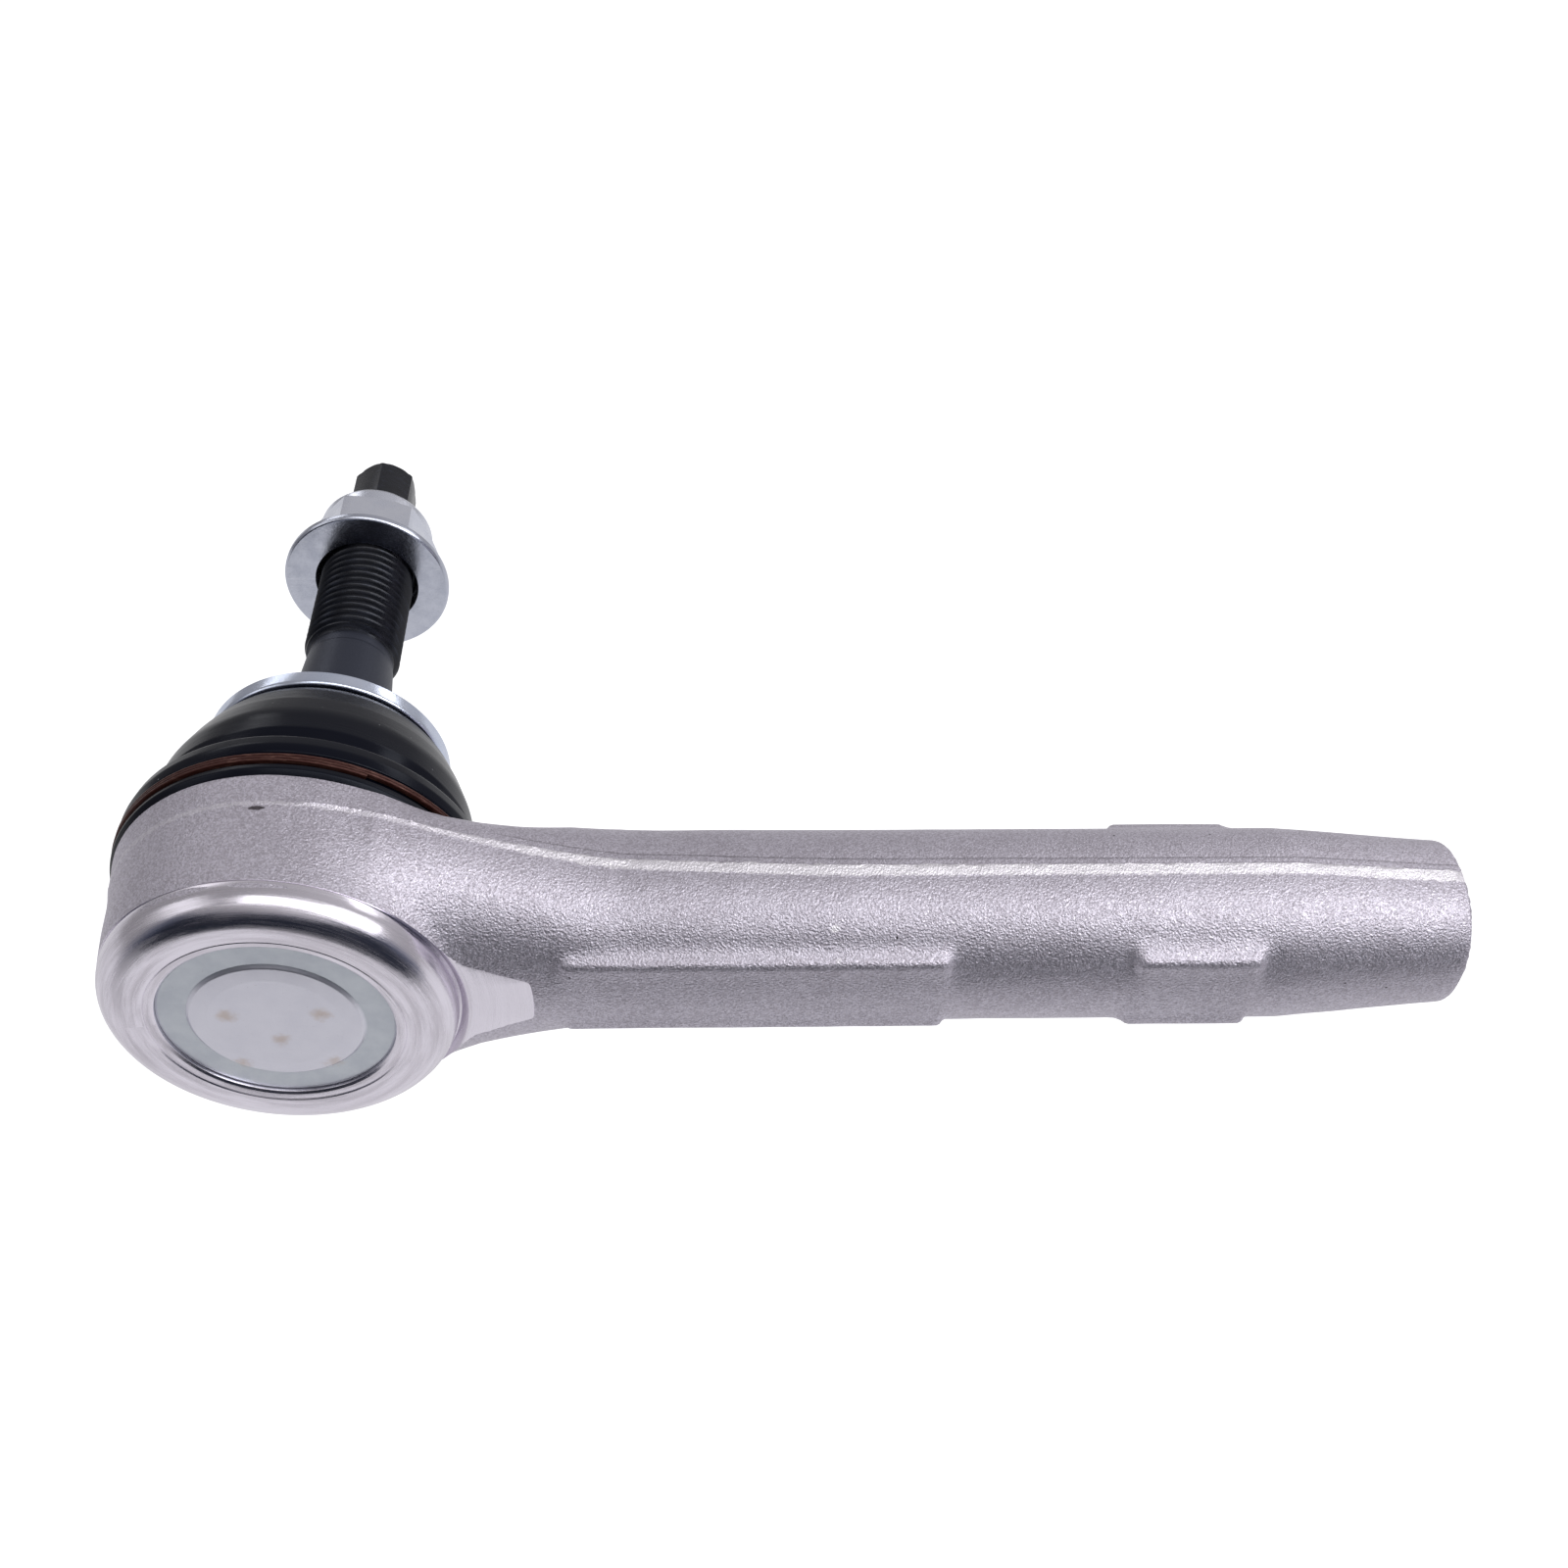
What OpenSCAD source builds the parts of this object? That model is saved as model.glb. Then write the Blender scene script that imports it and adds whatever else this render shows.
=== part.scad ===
// Tie rod end: a ball joint in a forged head with a long threaded shank.
// Origin: centre of the ball. +Z: along the stud, away from the closing cap.
// +X: along the shank, out of its threaded bore.

/* [Ball stud] */
// Diameter of the ball
ball_d = 27; // [26.5:0.5:27.5]
// Diameter of the stud's neck above the ball
neck_d = 13; // [12:0.5:13.5]
// Diameter of the cylinder that the slip bush turns on
bush_seat_d = 16; // [15.5:0.1:16]
// Outside diameter of the stud's thread
thread_d = 14; // [13.8:0.1:14]
// Pitch of the stud's thread
pitch = 1.5; // [1.25:0.25:1.5]
// Diameter of the taper at its large end
taper_d = 15.7; // [15.4:0.1:15.9]
// Taper, as length for each unit of diameter
taper_ratio = 12; // [11:1:16]
// Height of the taper's large end
taper_z = 31.5; // [31:0.5:32]
// Height of the lower end of the thread
thread_z = 52; // [51:0.5:54]
// Height of the upper end of the thread
thread_top_z = 84; // [83:0.5:86]
// Height of the tip of the stud
stud_top_z = 96.5; // [94:0.5:98]
// Size across the flats of the hexagon tip
tip_af = 9; // [8:0.5:10]

/* [Housing] */
// Largest diameter of the head, at the boot's shoulder
head_d = 46.6; // [46:0.2:48]
// Diameter of the head where the turned lip starts
head_low_d = 43.4; // [42:0.2:44]
// Diameter of the bore that holds the ball seat
bore_d = 31.6; // [31.4:0.1:31.8]
// Diameter of the shank
shank_d = 24; // [23.6:0.2:24.4]
// Diameter of the shank's tapered end
shank_end_d = 20.6; // [20:0.2:21]
// Distance from the ball's centre to the end of the shank
shank_x = 147.2; // [141:0.2:156]
// Minor diameter of the thread in the shank
tie_rod_d = 14.38; // [14.3:0.02:14.5]
// Depth of the thread in the shank
tie_rod_depth = 52; // [45:1:56]

/* [Cap] */
// Diameter of the cap's face inside the rolled lip
cap_face_d = 28.4; // [27.5:0.1:29]
// Thickness of the cap's sheet
cap_t = 1.5; // [1.2:0.1:1.5]
// Diameter of the cap's raised middle
cap_disc_d = 21.4; // [20.5:0.2:22]

/* [Boot] */
// Diameter of the clamp ring around the boot's foot
base_ring_d = 47.7; // [47.5:0.1:48]

/* [Shield] */
// Diameter of the shield washer
shield_d = 33.1; // [32:0.2:34]
// Height of the shield's upper face
shield_z = 30.6; // [30.6:0.1:30.8]

/* [Nut] */
// Size across the flats of the nut
nut_af = 18; // [18:0.2:18.6]
// Diameter of the nut's loose washer
nut_washer_d = 25; // [24:0.5:27]
// Height of the washer's lower face, as the nut sits half way up the thread
nut_z = 70.1; // [56:0.1:72]

/* [Hidden] */
$fn = 96;
gap = 0.05;                       // running clearance of a turning fit, on the radius
apart = 0.15;                     // clearance between the rubber and what it seals on
ball_r = ball_d / 2;
seat_r = bore_d / 2 - 0.05;
lip_z = -15.6;                    // lowest ring of the rolled lip
cap_z = -14.6;                    // outer face of the cap
cap_disc_rise = 0.5;
shoulder_z = 3.9;                 // the boot's foot stands here
head_top_z = 10.4;
ball_flat_z = -11;
taper_top_z = thread_z - 2.5;
thread_r = thread_d / 2;
thread_depth = 0.65 * pitch;
groove_r = 20.4;                  // floor of the head's boot groove
lip_reach = 0.9;                  // how far the lip above the groove stands out
boot_clear_r = 24.6;              // metal of the neck is cut back to here, beside the boot
facing_z = -12;                   // turned face around the rolled lip
facing_r = 30.8;
pad_z = 11.9;                     // marking pad, below the shank's axis
pad_half = 6.2;
pad_x = [34, 81.5];
flat_z = 12.05;                   // wrench pads, above and below the axis
flat_half = 6.1;
flat_x = [105, 120];
neck_x = 38;                      // the shank becomes a plain cylinder here
neck_fillet = 58;
flare_x = 9;                      // the flare starts inside the head
web_x = [6, 42];                  // the webs beside the neck start inside the head
web_reach = 29;                   // they stop widening this far from their end
web_layers = [[3.5, 0.9], [7, 2.8]];  // half height and inset of each layer of web
insert_r = 8;                     // pocket of the nut's plastic ring
insert_z = 11.1;
steel_zinc = "lightsteelblue";

// Points of an arc about (c[0], c[1]), from angle a to angle b in n steps.
function arc(c, r, a, b, n = 8) =
    [for (i = [0:n]) c + r * [cos(a + (b - a) * i / n), sin(a + (b - a) * i / n)]];

// A solid turned about Z from points (radius, height).
module turned(points) {
    rotate_extrude() polygon(points);
}

// A solid turned about X from points (radius, distance along X).
module turned_x(points) {
    rotate([0, 90, 0]) rotate_extrude() polygon(points);
}

// A plain ring between two radii and two heights.
module ring(r_in, r_out, z0, z1) {
    turned([[r_in, z0], [r_out, z0], [r_out, z1], [r_in, z1]]);
}

// ---- Housing ----

// Outside of the forged head, from the rolled lip up to the boot groove.
module head_blank() {
    r_low = head_low_d / 2;
    r_top = head_d / 2;
    turned(concat(
        [[0, cap_z], [cap_face_d / 2, lip_z + 0.6], [15.5, lip_z + 0.3]],
        arc([17.6, lip_z + 3.95], 3.95, -75, 0),
        [[r_low, lip_z + 4.2], [r_low + 0.5, -7.6], [r_low + 0.8, -3.6], [r_top - 0.4, 0.4]],
        arc([r_top - 0.6, shoulder_z - 0.6], 0.6, 0, 90, 4),
        [[groove_r, shoulder_z], [groove_r, 8.3], [groove_r + lip_reach, 8.6],
         [groove_r + lip_reach, 9.6], [groove_r + 0.1, head_top_z], [0, head_top_z]]
    ));
}

// Shank with its flared neck and its tapered, rounded end.
module shank_blank() {
    r = shank_d / 2;
    r_end = shank_end_d / 2;
    taper_x = shank_x - 22;
    edge = 0.7;
    flare = [for (i = [0:8]) let (x = flare_x + (neck_x - flare_x) * i / 8)
        [r + neck_fillet - sqrt(pow(neck_fillet, 2) - pow(neck_x - x, 2)), x]];
    turned_x(concat(
        [[0, flare_x]], flare,
        [[r, taper_x]],
        arc([r_end - edge, shank_x - edge], edge, 0, 90, 4),
        [[0, shank_x]]
    ));
}

// Raised pads of the forging: the marking pad and the two wrench pads.
module pads() {
    translate([pad_x[0], -pad_half, -pad_z])
        cube([pad_x[1] - pad_x[0], 2 * pad_half, pad_z]);
    translate([flat_x[0], -flat_half, -flat_z])
        cube([flat_x[1] - flat_x[0], 2 * flat_half, 2 * flat_z]);
}

// Space inside the head, from the cap's seat up to the flared mouth.
module ball_bore() {
    r = bore_d / 2;
    turned([
        [0, cap_z - 0.01], [cap_face_d / 2, cap_z - 0.01], [r + 0.6, -13.9],
        [r + 0.6, cap_z + cap_t], [r, cap_z + cap_t], [r, 2], [12.6, 8.6],
        [13.8, head_top_z + 0.1], [0, head_top_z + 0.1],
    ]);
    turned([[0, cap_z], [cap_face_d / 2, cap_z], [cap_face_d / 2, lip_z - 1], [0, lip_z - 1]]);
}

// Threaded blind bore of the shank, at its minor diameter, with a drill point.
module tie_rod_bore() {
    r = tie_rod_d / 2;
    floor_x = shank_x - tie_rod_depth;
    chamfer = 1;
    turned_x([
        [0, floor_x - r * 0.6], [r, floor_x], [r, shank_x - chamfer],
        [r + chamfer, shank_x], [0, shank_x],
    ]);
}

// Webs that widen the neck from the head's sides, in layers, seen from above.
module neck_webs() {
    gain = 0.0893;
    power = 1.36;
    for (layer = web_layers) {
        side = [for (i = [0:8]) let (x = web_x[0] + (web_x[1] - web_x[0]) * i / 8)
            [x, shank_d / 2 - layer[1] + gain * pow(min(web_x[1] - x, web_reach), power)]];
        translate([0, 0, -layer[0]]) linear_extrude(2 * layer[0])
            polygon(concat(side, [for (i = [8:-1:0]) [side[i][0], -side[i][1]]]));
    }
}

module housing() {
    color("silver") difference() {
        union() {
            head_blank();
            difference() {
                union() {
                    shank_blank();
                    pads();
                    neck_webs();
                }
                translate([0, 0, shoulder_z]) cylinder(r = boot_clear_r, h = 20);
                translate([0, 0, facing_z - 20]) cylinder(r = facing_r, h = 20);
            }
        }
        ball_bore();
        tie_rod_bore();
    }
}

// ---- Pieces inside the head ----

// Pressed cover; the housing's lip is rolled over its bevelled rim.
module closing_cap() {
    r = cap_face_d / 2;
    r_disc = cap_disc_d / 2;
    rim = bore_d / 2 + 0.55;
    color("lightgray") turned([
        [0, cap_z - cap_disc_rise], [r_disc - 0.4, cap_z - cap_disc_rise], [r_disc, cap_z],
        [r - 0.05, cap_z], [rim, -13.85], [rim, cap_z + cap_t], [r_disc - 0.5, cap_z + cap_t],
        [r_disc - 0.9, cap_z + cap_t - cap_disc_rise], [0, cap_z + cap_t - cap_disc_rise],
    ]);
}

// Coned spring disc that takes up the play under the pressure plate.
module preload_spring() {
    z = cap_z + cap_t;
    color("dimgray") turned([[7.4, z + 0.7], [14.6, z], [14.6, z + 0.7], [7.4, z + 1.4]]);
}

// Lower half of the ball's bearing.
module pressure_plate() {
    r = ball_r + gap;
    low = cap_z + cap_t + 1.4;
    high = -1.2;
    color("ivory") turned(concat(
        [[seat_r, low], [seat_r, high]],
        arc([0, 0], r, asin(high / r), asin(low / r), 16)
    ));
}

// Upper half of the ball's bearing, pressed into the head's cone.
module ball_seat() {
    r = ball_r + gap;
    high = 7.4;
    low = -0.8;
    color("ivory") turned(concat(
        [[seat_r, low], [seat_r, 1.95], [12.7, 8.2], [11.9, 8.2]],
        arc([0, 0], r, asin(high / r), asin(low / r), 16)
    ));
}

// ---- Moving pieces ----

// Hexagon tip with a rounded end.
module stud_tip() {
    corner = tip_af / sqrt(3);
    intersection() {
        translate([0, 0, thread_top_z - 1]) rotate([0, 0, 30])
            cylinder(r = corner, h = stud_top_z - thread_top_z + 1, $fn = 6);
        turned([
            [0, thread_top_z - 2], [corner + 1, thread_top_z - 2], [corner + 1, stud_top_z - 2.2],
            [corner - 0.4, stud_top_z - 1], [3, stud_top_z - 0.2], [0, stud_top_z],
        ]);
    }
}

module ball_stud() {
    neck_r = neck_d / 2;
    neck_a = acos(neck_r / ball_r);
    seat = bush_seat_d / 2;
    small_r = taper_d / 2 - (taper_top_z - taper_z) / taper_ratio;
    color("darkslategray") union() {
        turned(concat(
            [[0, ball_flat_z]],
            arc([0, 0], ball_r, asin(ball_flat_z / ball_r), neck_a, 32),
            [[neck_r, 17], [seat, 19.5], [seat, taper_z - 0.4],
             [taper_d / 2, taper_z], [small_r, taper_top_z],
             [small_r - 0.2, taper_top_z + 0.4], [small_r - 0.2, thread_z - 0.8],
             [thread_r, thread_z], [thread_r, thread_top_z - thread_depth],
             [thread_r - thread_depth, thread_top_z], [0, thread_top_z]]
        ));
        stud_tip();
    }
}

// Slip ring between the stud's seat and the boot's neck.
module neck_bush() {
    r = bush_seat_d / 2 + gap;
    color("gray") turned([
        [r, 21], [11.2, 21], [11.2, 22.2], [9.7, 22.2], [9.7, shield_z - 1.05], [r, shield_z - 1.05],
    ]);
}

// Pressed washer with a turned-down rim, above the boot.
module shield_washer() {
    r = shield_d / 2;
    inner = bush_seat_d / 2 + 0.3;
    color(steel_zinc) turned([
        [inner, shield_z - 1], [14.9, shield_z - 1], [14.5, shield_z - 1.9], [15.4, shield_z - 2],
        [r - 0.05, shield_z - 0.6], [r, shield_z - 0.3], [r - 0.3, shield_z], [inner, shield_z],
    ]);
}

// Rubber bellows: foot in the head's groove, ring groove, bead, dome and neck.
module dust_boot() {
    foot_r = groove_r + apart;
    bed_r = base_ring_d / 2 - 0.95;
    lip_r = groove_r + lip_reach + apart;
    z = shoulder_z + apart;
    neck_in = 9.7 + apart;            // rubber's hole, over the slip bush
    neck_out = 11.9;
    neck_top = 29.3;
    outer = [
        [foot_r, z], [23.2, z], [23.7, 4.7], [23.6, 5.5], [bed_r, 5.8], [bed_r, 7.5],
        [23.5, 7.8], [23.6, 9], [23.2, 10.6], [22.4, 11.8], [21.5, 12.5], [21.7, 14],
        [20.5, 18.3], [19, 22], [17.5, 25.6], [16.6, 27.2], [15.4, 27.6], [neck_out, 27.7],
    ];
    neck = [[neck_out, neck_top], [neck_in, neck_top], [neck_in, 22.4]];
    inner = [
        [11.6, 22.4], [12.4, 26], [14.8, 26], [15.9, 24.8], [17.4, 21.4], [18.8, 17.9],
        [20.1, 14], [19.9, 12.4], [20.4, 11.2], [21.6, 10.2], [lip_r, 8.4], [foot_r, 8.1],
    ];
    color("black") turned(concat(outer, neck, inner));
}

// Flat-wire spring ring around the boot's foot, shown as one band.
module base_clamp_ring() {
    r = base_ring_d / 2;
    color("saddlebrown") ring(r - 0.8, r, 5.95, 7.35);
}

// Spring ring around the boot's neck, under the shield.
module neck_clamp_ring() {
    color("dimgray") ring(12.05, 12.95, 28, 29.2);
}

// ---- Nut ----

// Loose washer, held on the nut by its turned-in upper lip.
module nut_washer() {
    r = nut_washer_d / 2;
    color(steel_zinc) translate([0, 0, nut_z]) turned([
        [7.62, 0.2], [7.82, 0], [r - 0.3, 0], [r, 0.3], [r, 1.1], [10.8, 3.3], [9.2, 3.3],
        [9.2, 2.8], [9.9, 2.8], [9.9, 1.5], [7.62, 1.5],
    ]);
}

// Hexagon with a foot for the washer and a round crown.
module nut() {
    bore = thread_r + gap;
    corner = nut_af / sqrt(3);
    foot_r = 9.75;
    waist_r = 9.05;
    hex_low = 3.4;
    hex_top = 10.4;
    crown_r = 8.8;
    crown_top = 13.7;
    insert_pocket = 1.9;
    color(steel_zinc) translate([0, 0, nut_z]) difference() {
        union() {
            turned([[0, 1.6], [foot_r - 0.15, 1.6], [foot_r, 1.75], [foot_r, 2.65],
                    [waist_r, 2.7], [waist_r, hex_low + 0.3], [0, hex_low + 0.3]]);
            intersection() {
                translate([0, 0, hex_low + 0.1]) rotate([0, 0, 12])
                    cylinder(r = corner, h = hex_top, $fn = 6);
                turned([[0, hex_low - 0.4], [9.3, hex_low], [corner + 0.6, hex_low + 0.8],
                        [corner + 0.6, hex_top - 1.3], [crown_r - 0.1, hex_top], [0, hex_top]]);
            }
            turned([[0, hex_top - 0.4], [crown_r, hex_top - 0.4], [crown_r, 12.6],
                    [crown_r - 0.6, 13.5], [crown_r - 0.9, crown_top], [0, crown_top]]);
        }
        translate([0, 0, 1]) cylinder(r = bore, h = 20);
        translate([0, 0, insert_z]) cylinder(r = insert_r, h = insert_pocket);
        turned([[0, 1.5], [bore + 0.85, 1.5], [bore - 0.1, 2.5], [0, 2.5]]);
    }
}

// Plastic ring in the nut's crown.
module nut_lock_insert() {
    color("royalblue") translate([0, 0, nut_z])
        ring(thread_r + gap, insert_r - gap, insert_z + gap, insert_z + 1.85);
}

housing();
closing_cap();
preload_spring();
pressure_plate();
ball_seat();
ball_stud();
dust_boot();
base_clamp_ring();
neck_clamp_ring();
neck_bush();
shield_washer();
nut_washer();
nut();
nut_lock_insert();
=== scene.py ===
"""Tie rod end: forged housing, ball stud, boot, shield and lock nut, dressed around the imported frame.

Sizes are in millimetres in the classes and are brought to metres where a mesh is made.
"""

import logging
import math
from dataclasses import dataclass, field
from enum import Enum
from functools import cache
from typing import Callable, Sequence

import bmesh
import bpy
import numpy as np
from mathutils import Matrix, Vector


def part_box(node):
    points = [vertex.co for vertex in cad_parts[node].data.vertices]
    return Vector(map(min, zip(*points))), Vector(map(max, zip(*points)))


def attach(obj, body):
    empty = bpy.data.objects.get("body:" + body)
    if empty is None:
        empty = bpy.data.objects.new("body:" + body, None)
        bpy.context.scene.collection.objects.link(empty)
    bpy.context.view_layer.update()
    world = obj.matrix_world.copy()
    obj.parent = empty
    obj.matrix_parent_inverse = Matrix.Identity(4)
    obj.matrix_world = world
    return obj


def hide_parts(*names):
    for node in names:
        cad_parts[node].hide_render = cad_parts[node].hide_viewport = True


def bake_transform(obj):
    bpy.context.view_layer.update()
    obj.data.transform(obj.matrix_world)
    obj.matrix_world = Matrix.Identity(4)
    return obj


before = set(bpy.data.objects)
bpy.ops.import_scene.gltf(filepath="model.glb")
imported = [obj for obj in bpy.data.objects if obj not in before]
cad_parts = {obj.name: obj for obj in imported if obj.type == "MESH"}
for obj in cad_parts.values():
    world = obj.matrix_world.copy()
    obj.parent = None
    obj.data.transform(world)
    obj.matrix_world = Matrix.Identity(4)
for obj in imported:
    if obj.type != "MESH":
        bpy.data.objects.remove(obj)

MM = 0.001
LOG = logging.getLogger("tie_rod_end")

Point = tuple[float, float]
Colour = tuple[float, float, float]


class Body(Enum):
    """Moving bodies of the joint, by the frame's names."""

    HOUSING = "housing_body"
    BOOT = "boot_body"
    NECK = "neck_body"
    STUD = "stud_body"
    WASHER = "washer_body"
    NUT = "nut_body"


class Axis(Enum):
    """Axis that a turned surface is concentric with."""

    STUD = "stud"
    SHANK = "shank"


# ---------------------------------------------------------------- node sheets


class NodeSheet:
    """A node tree with short calls for the nodes that the finishes and the repeated shapes need."""

    def __init__(self, tree: bpy.types.NodeTree) -> None:
        """Clears the tree.

        Args:
            tree: the material's or the modifier's node tree.
        """
        self.tree = tree
        tree.nodes.clear()

    def add(self, kind: str, feeds: dict | None = None, **settings: object) -> bpy.types.Node:
        """Adds one node.

        Args:
            kind: the node's type name.
            feeds: values or sockets by the input's name or number.
            settings: properties of the node itself.

        Returns:
            The new node.
        """
        made = self.tree.nodes.new(kind)
        for name, value in settings.items():
            setattr(made, name, value)
        for key, value in (feeds or {}).items():
            socket = made.inputs[key]
            if isinstance(value, bpy.types.NodeSocket):
                self.tree.links.new(value, socket)
            else:
                socket.default_value = value
        return made

    def maths(self, operation: str, *values: object, clamp: bool = False) -> bpy.types.NodeSocket:
        """Adds a Math node and returns its result."""
        feeds = dict(enumerate(values))
        return self.add("ShaderNodeMath", feeds, operation=operation, use_clamp=clamp).outputs[0]

    def spread(self, value: object, low: float, high: float, to_low: float = 0.0,
               to_high: float = 1.0) -> bpy.types.NodeSocket:
        """Maps a value from one range to another, held at the ends.

        Args:
            value: the socket to map.
            low: value that becomes to_low.
            high: value that becomes to_high.
            to_low: result at low.
            to_high: result at high.

        Returns:
            The mapped value.
        """
        feeds = {0: value, 1: low, 2: high, 3: to_low, 4: to_high}
        return self.add("ShaderNodeMapRange", feeds, interpolation_type="SMOOTHSTEP").outputs[0]

    def tint(self, share: object, first: object, second: object) -> bpy.types.NodeSocket:
        """Mixes two colours by a share and returns the mixed colour."""
        feeds = {0: share, 6: _rgba(first), 7: _rgba(second)}
        return self.add("ShaderNodeMix", feeds, data_type="RGBA").outputs[2]

    def noise(self, where: object, grain: float, detail: float = 2.0, rough: float = 0.5
              ) -> bpy.types.NodeSocket:
        """Noise whose grain is a size in millimetres.

        Args:
            where: the coordinates.
            grain: size of one grain, mm.
            detail: number of finer layers.
            rough: strength of the finer layers.

        Returns:
            The noise, about 0.5 at the middle.
        """
        feeds = {"Vector": where, "Scale": 1 / (grain * MM), "Detail": detail, "Roughness": rough}
        return self.add("ShaderNodeTexNoise", feeds).outputs["Fac"]

    def cells(self, where: object, grain: float, kind: str = "Distance") -> bpy.types.NodeSocket:
        """Voronoi cells of a size in millimetres; kind is the output's name."""
        feeds = {"Vector": where, "Scale": 1 / (grain * MM)}
        return self.add("ShaderNodeTexVoronoi", feeds).outputs[kind]

    def bump(self, height: object, depth: float, under: object = None) -> bpy.types.NodeSocket:
        """Bump of a depth in millimetres, laid over an earlier one.

        Args:
            height: the height pattern, 0 to 1.
            depth: its full depth, mm.
            under: an earlier bump's normal.

        Returns:
            The bent normal.
        """
        feeds = {"Height": height, "Distance": depth * MM, "Strength": 1.0}
        if under is not None:
            feeds["Normal"] = under
        return self.add("ShaderNodeBump", feeds).outputs[0]


def _rgba(value: object) -> object:
    """A colour with its fourth number, or the socket as it is."""
    return value if isinstance(value, bpy.types.NodeSocket) else (*value, 1.0)


# ------------------------------------------------------------------- finishes


@dataclass(frozen=True)
class FlashLine:
    """Where the trimmed flash runs round the forging, mm; it dips from the head to the shank."""

    head_z: float = -0.25
    shank_z: float = -1.5
    turn: tuple[float, float] = (34.0, 72.0)
    widening: tuple[float, float] = (8.0, 46.0)
    head_half: float = 0.28
    shank_half: float = 0.78
    head_rise: float = 0.1
    shank_rise: float = 0.4
    scribe_up: float = 1.9

    def level(self, x: np.ndarray) -> np.ndarray:
        """Height of the line's middle at x."""
        share = np.clip((x - self.turn[0]) / (self.turn[1] - self.turn[0]), 0, 1)
        return self.head_z + (self.shank_z - self.head_z) * share * share * (3 - 2 * share)


FLASH = FlashLine()


@dataclass(frozen=True)
class Finish:
    """One surface finish, made as a node material on object coordinates."""

    name: str
    colour: Colour
    metallic: float = 0.0
    roughness: float = 0.4

    @cache
    def material(self) -> bpy.types.Material:
        """Builds the finish's material once.

        Returns:
            The material, the same one at every call.
        """
        made = bpy.data.materials.new(self.name)
        made.use_nodes = True
        sheet = NodeSheet(made.node_tree)
        shader = sheet.add("ShaderNodeBsdfPrincipled", {"Metallic": self.metallic,
                                                        "Roughness": self.roughness})
        output = sheet.add("ShaderNodeOutputMaterial")
        sheet.tree.links.new(shader.outputs[0], output.inputs[0])
        where = sheet.add("ShaderNodeTexCoord").outputs["Object"]
        self.paint(sheet, shader, where)
        made.diffuse_color = _rgba(self.colour)
        return made

    def paint(self, sheet: NodeSheet, shader: bpy.types.Node, where: bpy.types.NodeSocket) -> None:
        """Fills the shader's colour, roughness and normal.

        Args:
            sheet: the material's nodes.
            shader: the Principled shader.
            where: object coordinates.
        """
        shader.inputs["Base Color"].default_value = _rgba(self.colour)

    @staticmethod
    def set_inputs(sheet: NodeSheet, shader: bpy.types.Node, colour: object, roughness: object,
                   normal: object) -> None:
        """Links the three inputs that vary over a surface."""
        for name, socket in (("Base Color", colour), ("Roughness", roughness), ("Normal", normal)):
            sheet.tree.links.new(socket, shader.inputs[name])


def round_axis(sheet: NodeSheet, where: bpy.types.NodeSocket, axis: Axis
               ) -> tuple[bpy.types.NodeSocket, bpy.types.NodeSocket, bpy.types.NodeSocket]:
    """Cylinder coordinates about an axis.

    Args:
        sheet: the nodes to add to.
        where: object coordinates.
        axis: the axis that the surface was turned about.

    Returns:
        Radius, angle in turns, and distance along the axis.
    """
    x, y, z = sheet.add("ShaderNodeSeparateXYZ", {0: where}).outputs[:]
    along, first, second = (z, x, y) if axis is Axis.STUD else (x, y, z)
    squares = sheet.maths("ADD", sheet.maths("MULTIPLY", first, first),
                          sheet.maths("MULTIPLY", second, second))
    radius = sheet.maths("SQRT", squares)
    angle = sheet.maths("DIVIDE", sheet.maths("ARCTAN2", second, first), math.tau)
    return radius, angle, along


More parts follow.
